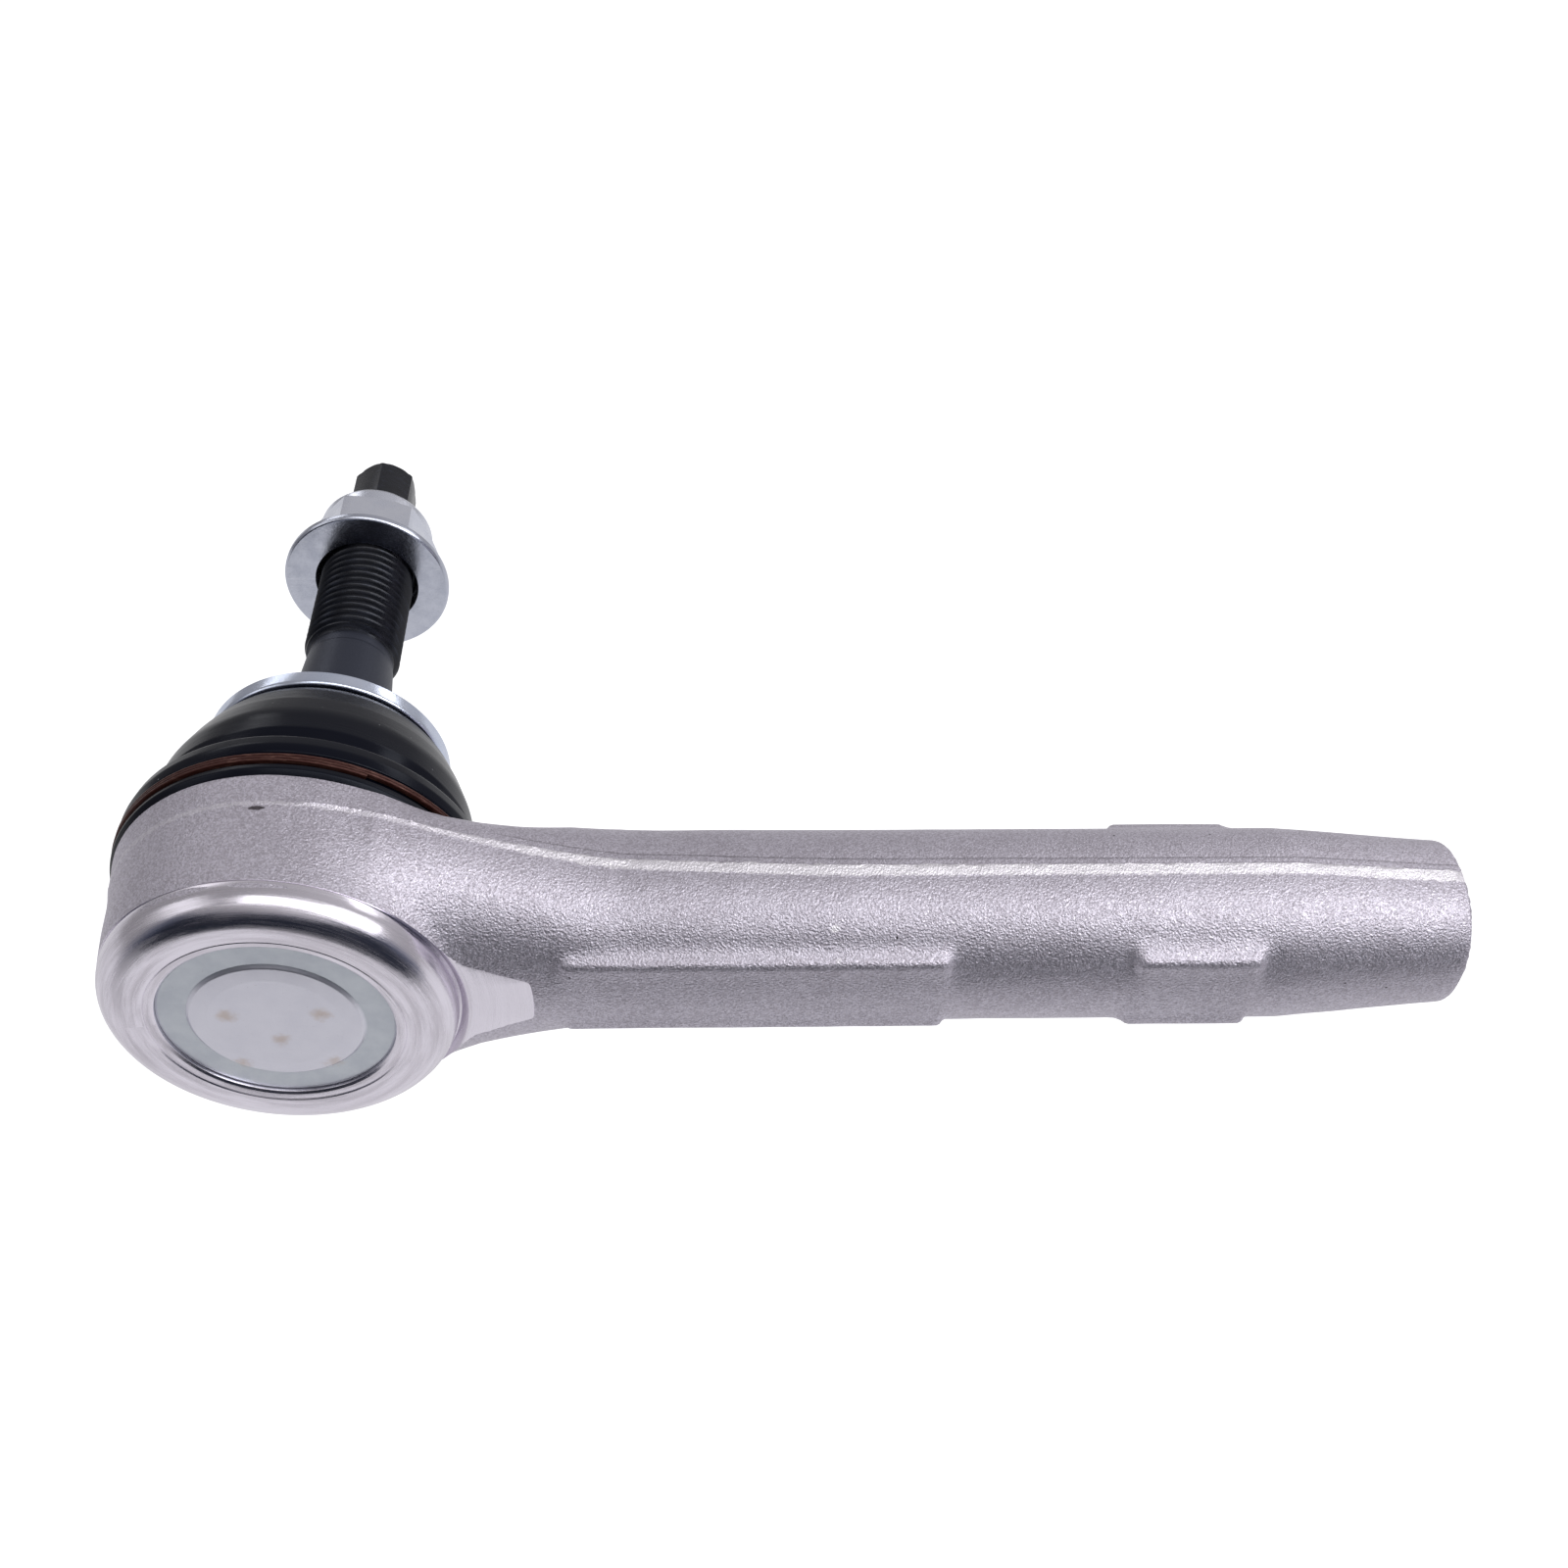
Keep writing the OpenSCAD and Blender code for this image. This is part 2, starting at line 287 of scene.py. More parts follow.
@dataclass(frozen=True)
class BlastedAluminium(Finish):
    """Forged aluminium, shot blasted to a sparkling grain, with a trimmed flash line lightened partly
    by a painted highlight.
    """

    grain: float = 0.2
    shade: Colour = (0.5, 0.465, 0.53)
    # bright: colour of the dings, and of the flash line, where it is partly a painted highlight.
    bright: Colour = (0.9, 0.87, 0.92)
    # dark: colour of the specks and the nick, and of the painted shade along the scribed groove.
    dark: Colour = (0.06, 0.05, 0.055)
    dings: Sequence[tuple[float, float, float]] = ((67.5, -8.8, -8.2), (67.9, -6.0, -11.1),
                                                   (49.5, -5.7, -11.1))
    nick: tuple[float, float, float] = (-0.5, -22.7, -1.0)

    def paint(self, sheet: NodeSheet, shader: bpy.types.Node, where: bpy.types.NodeSocket) -> None:
        """Grain, cloudy patches, dark specks, dings, the flash line partly lightened by a painted
        highlight, and the painted shade of the scribed line.

        Args:
            sheet: the material's nodes.
            shader: the Principled shader.
            where: object coordinates.
        """
        m = sheet.maths
        clouds = sheet.noise(where, 9.0, 3.0, 0.6)
        fine = sheet.noise(where, self.grain * 1.5, 2.0, 0.6)
        facet = sheet.add("ShaderNodeSeparateColor", {0: sheet.cells(where, self.grain, "Color")})
        tone = m("ADD", m("MULTIPLY", facet.outputs[0], 0.62), m("MULTIPLY", clouds, 0.38))
        colour = sheet.tint(sheet.spread(tone, 0.2, 0.8), self.shade, self.colour)
        colour = self.parting(sheet, where, colour)
        pits = sheet.spread(sheet.cells(where, 6.5), 0.016, 0.03, 1.0, 0.0)
        colour = sheet.tint(pits, colour, self.dark)
        for ding in self.dings:
            colour = self.spot(sheet, where, colour, ding, (0.66, 0.6, 0.6), self.bright)
        colour = self.spot(sheet, where, colour, self.nick, (1.15, 0.6, 0.34), self.dark)
        roughness = sheet.spread(facet.outputs[1], 0.0, 1.0, self.roughness - 0.1,
                                 self.roughness + 0.1)
        normal = sheet.bump(fine, 0.1)
        normal = sheet.bump(sheet.cells(where, self.grain * 1.5), 0.05, normal)
        self.set_inputs(sheet, shader, colour, roughness, normal)

    def parting(self, sheet: NodeSheet, where: bpy.types.NodeSocket, colour: bpy.types.NodeSocket
                ) -> bpy.types.NodeSocket:
        """Lays over a colour the trimmed flash line, partly lightened by a painted highlight, and the
        painted shade of the die's scribed groove above it.

        Args:
            sheet: the material's nodes.
            where: object coordinates.
            colour: the skin's colour.

        Returns:
            The colour with both lines.
        """
        m = sheet.maths
        x, _, z = sheet.add("ShaderNodeSeparateXYZ", {0: where}).outputs[:]
        # Flash band mixed towards the bright colour: partly the trimmed band's own paler tone, partly a
        # painted highlight.
        centre = sheet.spread(x, FLASH.turn[0] * MM, FLASH.turn[1] * MM, FLASH.head_z * MM,
                              FLASH.shank_z * MM)
        narrow, wide = (v * MM for v in FLASH.widening)
        half = sheet.spread(x, narrow, wide, FLASH.head_half * MM, FLASH.shank_half * MM)
        off_line = m("ABSOLUTE", m("SUBTRACT", z, centre))
        ragged = m("MULTIPLY", m("SUBTRACT", sheet.noise(where, 0.7), 0.5), 1.1 * MM)
        past = m("ADD", m("SUBTRACT", off_line, half), ragged)
        share = sheet.spread(past, -0.1 * MM, 0.1 * MM, 0.85, 0.0)
        share = m("MULTIPLY", share, sheet.spread(x, narrow, wide, 0.45, 1.0))
        colour = sheet.tint(share, colour, self.bright)
        # Painted shade: a thin dark line along the die's scribed groove, where shade falls.
        scribed = m("ABSOLUTE", m("SUBTRACT", m("SUBTRACT", z, centre), FLASH.scribe_up * MM))
        scribe_shade = sheet.spread(scribed, 0.05 * MM, 0.17 * MM, 0.4, 0.0)
        scribe_shade = m("MULTIPLY", scribe_shade, sheet.spread(x, 20 * MM, 34 * MM))
        return sheet.tint(scribe_shade, colour, self.dark)

    @staticmethod
    def spot(sheet: NodeSheet, where: bpy.types.NodeSocket, colour: bpy.types.NodeSocket,
             place: tuple[float, float, float], reach: tuple[float, float, float],
             mark: Colour) -> bpy.types.NodeSocket:
        """Lays one small oval mark over a colour.

        Args:
            sheet: the material's nodes.
            where: object coordinates.
            colour: the skin's colour.
            place: the mark's centre, mm.
            reach: its half sizes, mm.
            mark: its colour.

        Returns:
            The colour with the mark.
        """
        middle = tuple(v * MM for v in place)
        scale = tuple(1 / (v * MM) for v in reach)
        away = sheet.add("ShaderNodeVectorMath", {0: where, 1: middle}, operation="SUBTRACT")
        sized = sheet.add("ShaderNodeVectorMath", {0: away.outputs[0], 1: scale},
                          operation="MULTIPLY")
        far = sheet.add("ShaderNodeVectorMath", {0: sized.outputs[0]}, operation="LENGTH")
        ragged = sheet.maths("ADD", far.outputs["Value"],
                             sheet.maths("MULTIPLY", sheet.noise(where, 0.4), 0.5))
        return sheet.tint(sheet.spread(ragged, 0.9, 1.3, 0.9, 0.0), colour, mark)


@dataclass(frozen=True)
class TurnedMetal(Finish):
    """Turned or burnished metal with fine concentric tool marks."""

    axis: Axis = Axis.STUD
    marks: float = 0.12
    depth: float = 0.006
    second: Colour = (0.7, 0.66, 0.67)
    anisotropy: float = 0.5
    calm_from: float = 200.0

    def paint(self, sheet: NodeSheet, shader: bpy.types.Node, where: bpy.types.NodeSocket) -> None:
        """Rings, soft streaks along them and a few scuffs, calm beyond a radius.

        Args:
            sheet: the material's nodes.
            shader: the Principled shader.
            where: object coordinates.
        """
        radius, angle, along = round_axis(sheet, where, self.axis)
        swept = sheet.add("ShaderNodeCombineXYZ", {0: radius, 1: sheet.maths("MULTIPLY", angle,
                                                                          1.2 * MM), 2: along})
        rings = sheet.noise(swept.outputs[0], self.marks, 3.0, 0.7)
        broad = sheet.add("ShaderNodeCombineXYZ", {0: radius, 1: sheet.maths("MULTIPLY", angle,
                                                                          9 * MM), 2: along})
        streaks = sheet.noise(broad.outputs[0], 1.1, 4.0, 0.65)
        lively = sheet.spread(radius, self.calm_from * MM, (self.calm_from + 0.6) * MM, 1.0, 0.15)
        colour = sheet.tint(sheet.maths("MULTIPLY", sheet.spread(streaks, 0.3, 0.7), lively),
                            self.colour, self.second)
        scuffs = sheet.spread(sheet.noise(broad.outputs[0], 0.5, 5.0, 0.75), 0.66, 0.74)
        scuffs = sheet.maths("MULTIPLY", scuffs, sheet.maths("MULTIPLY", lively, 0.5))
        colour = sheet.tint(scuffs, colour, (0.33, 0.29, 0.29))
        uneven = sheet.maths("MULTIPLY", sheet.spread(streaks, 0.3, 0.7, -0.07, 0.1), lively)
        roughness = sheet.maths("ADD", uneven, sheet.spread(rings, 0.2, 0.8, self.roughness - 0.05,
                                                            self.roughness + 0.08))
        shader.inputs["Anisotropic"].default_value = self.anisotropy
        normal = sheet.bump(rings, self.depth)
        self.set_inputs(sheet, shader, colour, roughness,
                        sheet.bump(sheet.noise(where, 2.4), 0.02, normal))


@dataclass(frozen=True)
class ZincPlate(Finish):
    """Zinc plate: cloudy, a little bluish, with fine scratches."""

    second: Colour = (0.6, 0.64, 0.7)
    scratch: float = 0.35
    cloudy: float = 1.0

    def paint(self, sheet: NodeSheet, shader: bpy.types.Node, where: bpy.types.NodeSocket) -> None:
        """Clouds in the plating, fine grit and crossing scratches."""
        colour, roughness, normal = self.plating(sheet, where)
        self.set_inputs(sheet, shader, colour, roughness, normal)

    def plating(self, sheet: NodeSheet, where: bpy.types.NodeSocket
                ) -> tuple[bpy.types.NodeSocket, bpy.types.NodeSocket, bpy.types.NodeSocket]:
        """The plating's own pattern.

        Args:
            sheet: the material's nodes.
            where: object coordinates.

        Returns:
            Colour, roughness and normal.
        """
        clouds = sheet.noise(where, 3.2, 4.0, 0.65)
        grit = sheet.noise(where, 0.22, 3.0, 0.6)
        along = sheet.add("ShaderNodeMapping", {0: where, 2: (0.3, 0.2, 0.9), 3: (0.06, 1.0, 1.0)})
        lines = sheet.noise(along.outputs[0], 0.25, 3.0, 0.7)
        worn = sheet.maths("MULTIPLY", sheet.spread(lines, 0.62, 0.72), self.scratch)
        colour = sheet.tint(sheet.spread(clouds, 0.3, 0.7), self.colour, self.second)
        colour = sheet.tint(worn, colour, (0.9, 0.92, 0.95))
        roughness = sheet.maths("ADD", sheet.spread(clouds, 0.3, 0.7,
                                                    self.roughness - 0.06 * self.cloudy,
                                                    self.roughness + 0.08 * self.cloudy),
                                sheet.spread(grit, 0.35, 0.65, -0.03, 0.03))
        normal = sheet.bump(grit, 0.012)
        return colour, roughness, sheet.bump(clouds, 0.02 * self.cloudy, normal)


@dataclass(frozen=True)
class StainedZinc(ZincPlate):
    """Dull zinc of the closing cap, with five faint brown stains in a quincunx."""

    stain_centre: Point = (0.0, 3.3)
    stain_reach: Point = (5.6, 4.9)
    stain_size: float = 1.7
    disc_r: float = 10.4
    disc: Colour = (0.86, 0.83, 0.93)

    def paint(self, sheet: NodeSheet, shader: bpy.types.Node, where: bpy.types.NodeSocket) -> None:
        """The plating with its stains and a dusting of dark grit.

        Args:
            sheet: the material's nodes.
            shader: the Principled shader.
            where: object coordinates.
        """
        colour, roughness, normal = self.plating(sheet, where)
        radius, _, _ = round_axis(sheet, where, Axis.STUD)
        inner = sheet.spread(radius, self.disc_r * MM, (self.disc_r + 0.4) * MM, 0.62, 0.0)
        colour = sheet.tint(inner, colour, self.disc)
        wobble = sheet.maths("MULTIPLY", sheet.noise(where, 1.1, 3.0, 0.6), 2.2 * MM)
        for across, up in ((0, 0), (-1, -1), (1, -1), (-1, 1), (1, 1)):
            spot = (MM * (self.stain_centre[0] + across * self.stain_reach[0]),
                    MM * (self.stain_centre[1] + up * self.stain_reach[1]), -15.1 * MM)
            gap = sheet.add("ShaderNodeVectorMath", {0: where, 1: spot}, operation="DISTANCE")
            reach = sheet.maths("ADD", gap.outputs["Value"], wobble)
            share = sheet.spread(reach, 1.0 * MM, (self.stain_size + 1.1) * MM, 0.55, 0.0)
            colour = sheet.tint(share, colour, (0.5, 0.37, 0.27))
        specks = sheet.spread(sheet.noise(where, 0.3, 3.0, 0.8), 0.66, 0.72)
        colour = sheet.tint(sheet.maths("MULTIPLY", specks, 0.35), colour, (0.2, 0.2, 0.2))
        self.set_inputs(sheet, shader, colour, roughness, normal)


@dataclass(frozen=True)
class PhosphatedSteel(Finish):
    """Black phosphated steel, lightly oiled on the thread."""

    sheen: Colour = (0.036, 0.041, 0.062)
    oiled_from: float = 51.0

    def paint(self, sheet: NodeSheet, shader: bpy.types.Node, where: bpy.types.NodeSocket) -> None:
        """Crystal grain, turned rings and the oil film above the taper.

        Args:
            sheet: the material's nodes.
            shader: the Principled shader.
            where: object coordinates.
        """
        radius, angle, along = round_axis(sheet, where, Axis.STUD)
        swept = sheet.add("ShaderNodeCombineXYZ", {0: radius, 1: sheet.maths("MULTIPLY", angle,
                                                                          4 * MM), 2: along})
        rings = sheet.noise(swept.outputs[0], 0.3, 4.0, 0.7)
        crystal = sheet.noise(where, 0.15, 3.0, 0.65)
        oil = sheet.spread(along, self.oiled_from * MM, (self.oiled_from + 1) * MM)
        dark = sheet.tint(oil, self.sheen, self.colour)
        colour = sheet.tint(sheet.spread(rings, 0.45, 0.8), dark, self.sheen)
        dry = sheet.spread(crystal, 0.3, 0.7, self.roughness, self.roughness + 0.16)
        roughness = sheet.maths("SUBTRACT", dry, sheet.maths("MULTIPLY", oil, 0.2))
        normal = sheet.bump(crystal, 0.01)
        self.set_inputs(sheet, shader, colour, roughness, sheet.bump(rings, 0.008, normal))


@dataclass(frozen=True)
class BootRubber(Finish):
    """Moulded black rubber, satin, with faint mould rings and a few grains of dust."""

    dust: Colour = (0.25, 0.26, 0.28)
    specular: float = 0.17
    gloss: Colour = (0.8, 0.86, 1.0)

    def paint(self, sheet: NodeSheet, shader: bpy.types.Node, where: bpy.types.NodeSocket) -> None:
        """Satin skin, rings of the mould, smears and dust.

        Args:
            sheet: the material's nodes.
            shader: the Principled shader.
            where: object coordinates.
        """
        shader.inputs["Specular IOR Level"].default_value = self.specular
        shader.inputs["Specular Tint"].default_value = _rgba(self.gloss)
        radius, angle, along = round_axis(sheet, where, Axis.STUD)
        swept = sheet.add("ShaderNodeCombineXYZ", {0: radius, 1: sheet.maths("MULTIPLY", angle,
                                                                          6 * MM), 2: along})
        rings = sheet.noise(swept.outputs[0], 0.45, 3.0, 0.6)
        smears = sheet.noise(swept.outputs[0], 3.0, 4.0, 0.6)
        specks = sheet.spread(sheet.cells(where, 2.6), 0.03, 0.05, 1.0, 0.0)
        colour = sheet.tint(sheet.spread(smears, 0.45, 0.8, 0.0, 0.6), self.colour,
                            (0.005, 0.006, 0.011))
        colour = sheet.tint(sheet.maths("MULTIPLY", specks, 0.6), colour, self.dust)
        roughness = sheet.maths("ADD", sheet.spread(smears, 0.3, 0.7, self.roughness - 0.05,
                                                    self.roughness + 0.1),
                                sheet.maths("MULTIPLY", specks, 0.3))
        normal = sheet.bump(sheet.noise(where, 0.3, 3.0, 0.6), 0.008)
        self.set_inputs(sheet, shader, colour, roughness, sheet.bump(rings, 0.012, normal))


@dataclass(frozen=True)
class SpringWire(Finish):
    """Flat spring wire, blued or browned, rubbed bright in places."""

    rubbed: Colour = (0.3, 0.14, 0.1)

    def paint(self, sheet: NodeSheet, shader: bpy.types.Node, where: bpy.types.NodeSocket) -> None:
        """Drawn lines along the wire with rubbed patches.

        Args:
            sheet: the material's nodes.
            shader: the Principled shader.
            where: object coordinates.
        """
        radius, angle, along = round_axis(sheet, where, Axis.STUD)
        swept = sheet.add("ShaderNodeCombineXYZ", {0: radius, 1: sheet.maths("MULTIPLY", angle,
                                                                          14 * MM), 2: along})
        drawn = sheet.noise(swept.outputs[0], 0.16, 3.0, 0.6)
        patches = sheet.noise(swept.outputs[0], 1.3, 4.0, 0.7)
        colour = sheet.tint(sheet.spread(drawn, 0.5, 0.75), self.colour, self.rubbed)
        colour = sheet.tint(sheet.spread(patches, 0.6, 0.75, 0.0, 0.5), colour, self.rubbed)
        roughness = sheet.spread(patches, 0.3, 0.7, self.roughness - 0.08, self.roughness + 0.12)
        self.set_inputs(sheet, shader, colour, roughness, sheet.bump(drawn, 0.01))


@dataclass(frozen=True)
class MouldedPlastic(Finish):
    """Plain moulded plastic with a fine skin."""

    second: Colour = (0.5, 0.48, 0.42)

    def paint(self, sheet: NodeSheet, shader: bpy.types.Node, where: bpy.types.NodeSocket) -> None:
        """Slow colour drift and a fine skin.

        Args:
            sheet: the material's nodes.
            shader: the Principled shader.
            where: object coordinates.
        """
        drift = sheet.noise(where, 4.0, 3.0)
        skin = sheet.noise(where, 0.35, 3.0)
        colour = sheet.tint(sheet.spread(drift, 0.3, 0.7), self.colour, self.second)
        roughness = sheet.spread(skin, 0.3, 0.7, self.roughness - 0.05, self.roughness + 0.08)
        self.set_inputs(sheet, shader, colour, roughness, sheet.bump(skin, 0.01))


FORGED = BlastedAluminium("forging_skin", (0.7, 0.665, 0.755), 0.92, 0.48)
TURNED = TurnedMetal("turned_face", (0.86, 0.82, 0.91), 1.0, 0.22, second=(0.72, 0.68, 0.75),
                     calm_from=22.8)
TAPPED = TurnedMetal("tapped_bore", (0.74, 0.72, 0.73), 1.0, 0.34, axis=Axis.SHANK)
DULL_ZINC = StainedZinc("dull_plating", (0.6, 0.63, 0.68), 0.85, 0.32, second=(0.54, 0.57, 0.63),
                        scratch=0.0, cloudy=0.2)
BRIGHT_ZINC = ZincPlate("bright_plating", (0.82, 0.84, 0.93), 1.0, 0.24, second=(0.76, 0.785, 0.89),
                        cloudy=0.5)
WASHER_ZINC = ZincPlate("washer_plating", (0.6, 0.62, 0.71), 1.0, 0.2, second=(0.54, 0.565, 0.66),
                        cloudy=0.5)
SHIELD_ZINC = ZincPlate("shield_plating", (0.74, 0.79, 0.93), 1.0, 0.2, second=(0.67, 0.73, 0.88),
                        cloudy=0.6)
BLACK_STEEL = PhosphatedSteel("black_phosphate", (0.012, 0.013, 0.018), 0.55, 0.34)
RUBBER = BootRubber("moulded_rubber", (0.0025, 0.003, 0.0075), 0.0, 0.2)
BROWN_WIRE = SpringWire("browned_wire", (0.06, 0.017, 0.013), 0.55, 0.34, rubbed=(0.2, 0.1, 0.08))
GREY_WIRE = SpringWire("oiled_wire", (0.12, 0.12, 0.13), 0.9, 0.34, rubbed=(0.4, 0.4, 0.42))
SEAT_PLASTIC = MouldedPlastic("seat_acetal", (0.74, 0.71, 0.62), 0.0, 0.42)
LOCK_PLASTIC = MouldedPlastic("lock_nylon", (0.05, 0.12, 0.42), 0.0, 0.36, second=(0.04, 0.1, 0.36))


# ------------------------------------------------------------------ mesh tools


def arc(centre: Point, radius: float, start: float, end: float, steps: int = 12) -> list[Point]:
    """Points of an arc.

    Args:
        centre: its centre, mm.
        radius: its radius, mm.
        start: first angle, degrees.
        end: last angle, degrees.
        steps: number of chords.

    Returns:
        The points from start to end.
    """
    angles = [math.radians(start + (end - start) * i / steps) for i in range(steps + 1)]
    return [(centre[0] + radius * math.cos(a), centre[1] + radius * math.sin(a)) for a in angles]


def rounded(corners: Sequence[tuple[float, ...]], steps: int = 5) -> list[Point]:
    """Rounds the corners of an open outline.

    Args:
        corners: (radius, height) or (radius, height, fillet) in mm.
        steps: chords in each fillet.

    Returns:
        The outline's points.
    """
    points: list[Point] = []
    for i, corner in enumerate(corners):
        here = np.array(corner[:2], float)
        if len(corner) < 3 or i in (0, len(corners) - 1):
            points.append((here[0], here[1]))
            continue
        back = np.array(corners[i - 1][:2], float) - here
        onward = np.array(corners[i + 1][:2], float) - here
        reach = min(np.linalg.norm(back), np.linalg.norm(onward)) * 0.49
        back, onward = back / np.linalg.norm(back), onward / np.linalg.norm(onward)
        half = math.acos(max(-1.0, min(1.0, float(back @ onward)))) / 2
        length = min(corner[2] / max(math.tan(half), 1e-6), reach)
        first, last = here + back * length, here + onward * length
        for k in range(steps + 1):
            t = k / steps
            spot = first * (1 - t) ** 2 + here * 2 * t * (1 - t) + last * t * t
            points.append((spot[0], spot[1]))
    return points


def hexagon(across_flats: float, turn: float) -> Callable[[np.ndarray], np.ndarray]:
    """Radius of a hexagon at each angle.

    Args:
        across_flats: its size across the flats, mm.
        turn: angle of one corner, degrees.

    Returns:
        A function from angles in radians to radii in mm.
    """
    def reach(angles: np.ndarray) -> np.ndarray:
        """Radius of the flats at each angle, mm."""
        part = np.mod(angles - math.radians(turn), math.pi / 3) - math.pi / 6
        return across_flats / 2 / np.cos(part)
    return reach


def new_object(name: str, mesh: bpy.types.Mesh) -> bpy.types.Object:
    """Links a mesh as an object at the origin."""
    made = bpy.data.objects.new(name, mesh)
    bpy.context.scene.collection.objects.link(made)
    return made


def mesh_from(name: str, points: np.ndarray, faces: Sequence[Sequence[int]]) -> bpy.types.Mesh:
    """A mesh from points in millimetres.

    Args:
        name: the mesh's name.
        points: vertices, mm.
        faces: vertex numbers of each face.

    Returns:
        The mesh, in metres.
    """
    mesh = bpy.data.meshes.new(name)
    mesh.from_pydata((np.asarray(points, float) * MM).tolist(), [], faces)
    return mesh


def lathe(name: str, outline: Sequence[Point], segments: int = 192, closed: bool = True,
          limit: Callable[[np.ndarray], np.ndarray] | None = None) -> bpy.types.Mesh:
    """Turns an outline about Z.

    Args:
        name: the mesh's name.
        outline: (radius, height) points, mm.
        segments: number of steps round the axis.
        closed: True joins the last point to the first.
        limit: largest radius at each angle, for a hexagon.

    Returns:
        The turned mesh.
    """
    angles = np.arange(segments) * math.tau / segments
    radii = np.array([p[0] for p in outline])[:, None] * np.ones(segments)[None, :]
    if limit is not None:
        radii = np.minimum(radii, limit(angles)[None, :])
    heights = np.array([p[1] for p in outline])[:, None] * np.ones(segments)[None, :]
    grid = np.stack([radii * np.cos(angles), radii * np.sin(angles), heights], axis=-1)
    rows = len(outline)
    faces = []
    for i in range(rows if closed else rows - 1):
        j = (i + 1) % rows
        if outline[i][0] < 1e-9 and outline[j][0] < 1e-9:
            continue
        for k in range(segments):
            m = (k + 1) % segments
            faces.append((i * segments + k, i * segments + m, j * segments + m, j * segments + k))
    mesh = mesh_from(name, grid.reshape(-1, 3), faces)
    tidy(mesh)
    return mesh


def tidy(mesh: bpy.types.Mesh, reach: float = 1e-7) -> None:
    """Merges doubled vertices, drops faces without area and turns the faces outwards.

    Args:
        mesh: the mesh to tidy.
        reach: distance at which vertices are one, m.
    """
    work = bmesh.new()
    work.from_mesh(mesh)
    bmesh.ops.remove_doubles(work, verts=work.verts, dist=reach)
    bmesh.ops.dissolve_degenerate(work, edges=work.edges, dist=reach)
    bmesh.ops.recalc_face_normals(work, faces=work.faces)
    work.to_mesh(mesh)
    work.free()


def joined(name: str, *meshes: bpy.types.Mesh, reach: float = 2e-6) -> bpy.types.Mesh:
    """Joins open meshes that share their rims into one closed mesh.

    Args:
        name: the new mesh's name.
        meshes: the meshes, which are removed.
        reach: distance at which rim vertices are one, m.

    Returns:
        The joined mesh.
    """
    work = bmesh.new()
    for mesh in meshes:
        work.from_mesh(mesh)
        bpy.data.meshes.remove(mesh)
    made = bpy.data.meshes.new(name)
    work.to_mesh(made)
    work.free()
    tidy(made, reach)
    return made


def shade(mesh: bpy.types.Mesh, crease: float = 32.0) -> None:
    """Smooth shading, with edges sharper than crease degrees kept crisp."""
    mesh.shade_smooth()
    mesh.set_sharp_from_angle(angle=math.radians(crease))


def dress(piece: bpy.types.Object, body: Body, slot: str, *finishes: Finish,
          stands_for: Sequence[str] = ()) -> bpy.types.Object:
    """Gives a finished piece its materials, its body and the CAD nodes that it stands for.

    Args:
        piece: the piece, at the origin.
        body: the body that it rides on.
        slot: not used.
        finishes: the finishes of its material slots, in order.
        stands_for: CAD nodes that it replaces.

    Returns:
        The piece.
    """
    piece.data.materials.clear()
    for finish in finishes:
        piece.data.materials.append(finish.material())
    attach(piece, body.value)
    if stands_for:
        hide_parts(*stands_for)
    LOG.info("%s: %d faces on %s", piece.name, len(piece.data.polygons), body.value)
    return piece


# -------------------------------------------------------------- geometry nodes


class NodeShape:
    """A Geometry Nodes tree that is filled in once, run, and turned into a plain mesh."""

    def __init__(self, name: str, sockets: Sequence[tuple[str, str, object]]) -> None:
        """Args:
            name: the tree's name.
            sockets: name, socket kind and first value of each input.
        """
        self.tree = bpy.data.node_groups.new(name, "GeometryNodeTree")
        self.sheet = NodeSheet(self.tree)
        self.tree.interface.new_socket("Geometry", in_out="OUTPUT",
                                       socket_type="NodeSocketGeometry")
        for label, kind, value in sockets:
            made = self.tree.interface.new_socket(label, in_out="INPUT", socket_type=kind)
            if value is not None:
                made.default_value = value
        self.given = self.sheet.add("NodeGroupInput").outputs

    def close(self, geometry: bpy.types.NodeSocket) -> None:
        """Ends the tree in Realize Instances, Set Material and the output."""
        real = self.sheet.add("GeometryNodeRealizeInstances", {0: geometry})
        painted = self.sheet.add("GeometryNodeSetMaterial", {"Geometry": real.outputs[0],
                                                             "Material": self.given["Material"]})
        self.sheet.add("NodeGroupOutput", {0: painted.outputs[0]})

    def mesh(self, name: str, values: dict[str, object]) -> bpy.types.Mesh:
        """Runs the tree with these inputs.

        Args:
            name: the new mesh's name.
            values: inputs by name.

        Returns:
            The plain mesh.
        """
        carrier = new_object(name + "_carrier", bpy.data.meshes.new(name + "_seed"))
        modifier = carrier.modifiers.new("shape", "NODES")
        modifier.node_group = self.tree
        keys = {i.name: i.identifier for i in self.tree.interface.items_tree if i.in_out == "INPUT"}
        for label, value in values.items():
            modifier[keys[label]] = value
        bpy.context.view_layer.update()
        graph = bpy.context.evaluated_depsgraph_get()
        made = bpy.data.meshes.new_from_object(carrier.evaluated_get(graph))
        made.name = name
        bpy.data.objects.remove(carrier)
        return made


FLOAT, INT, MATERIAL = "NodeSocketFloat", "NodeSocketInt", "NodeSocketMaterial"


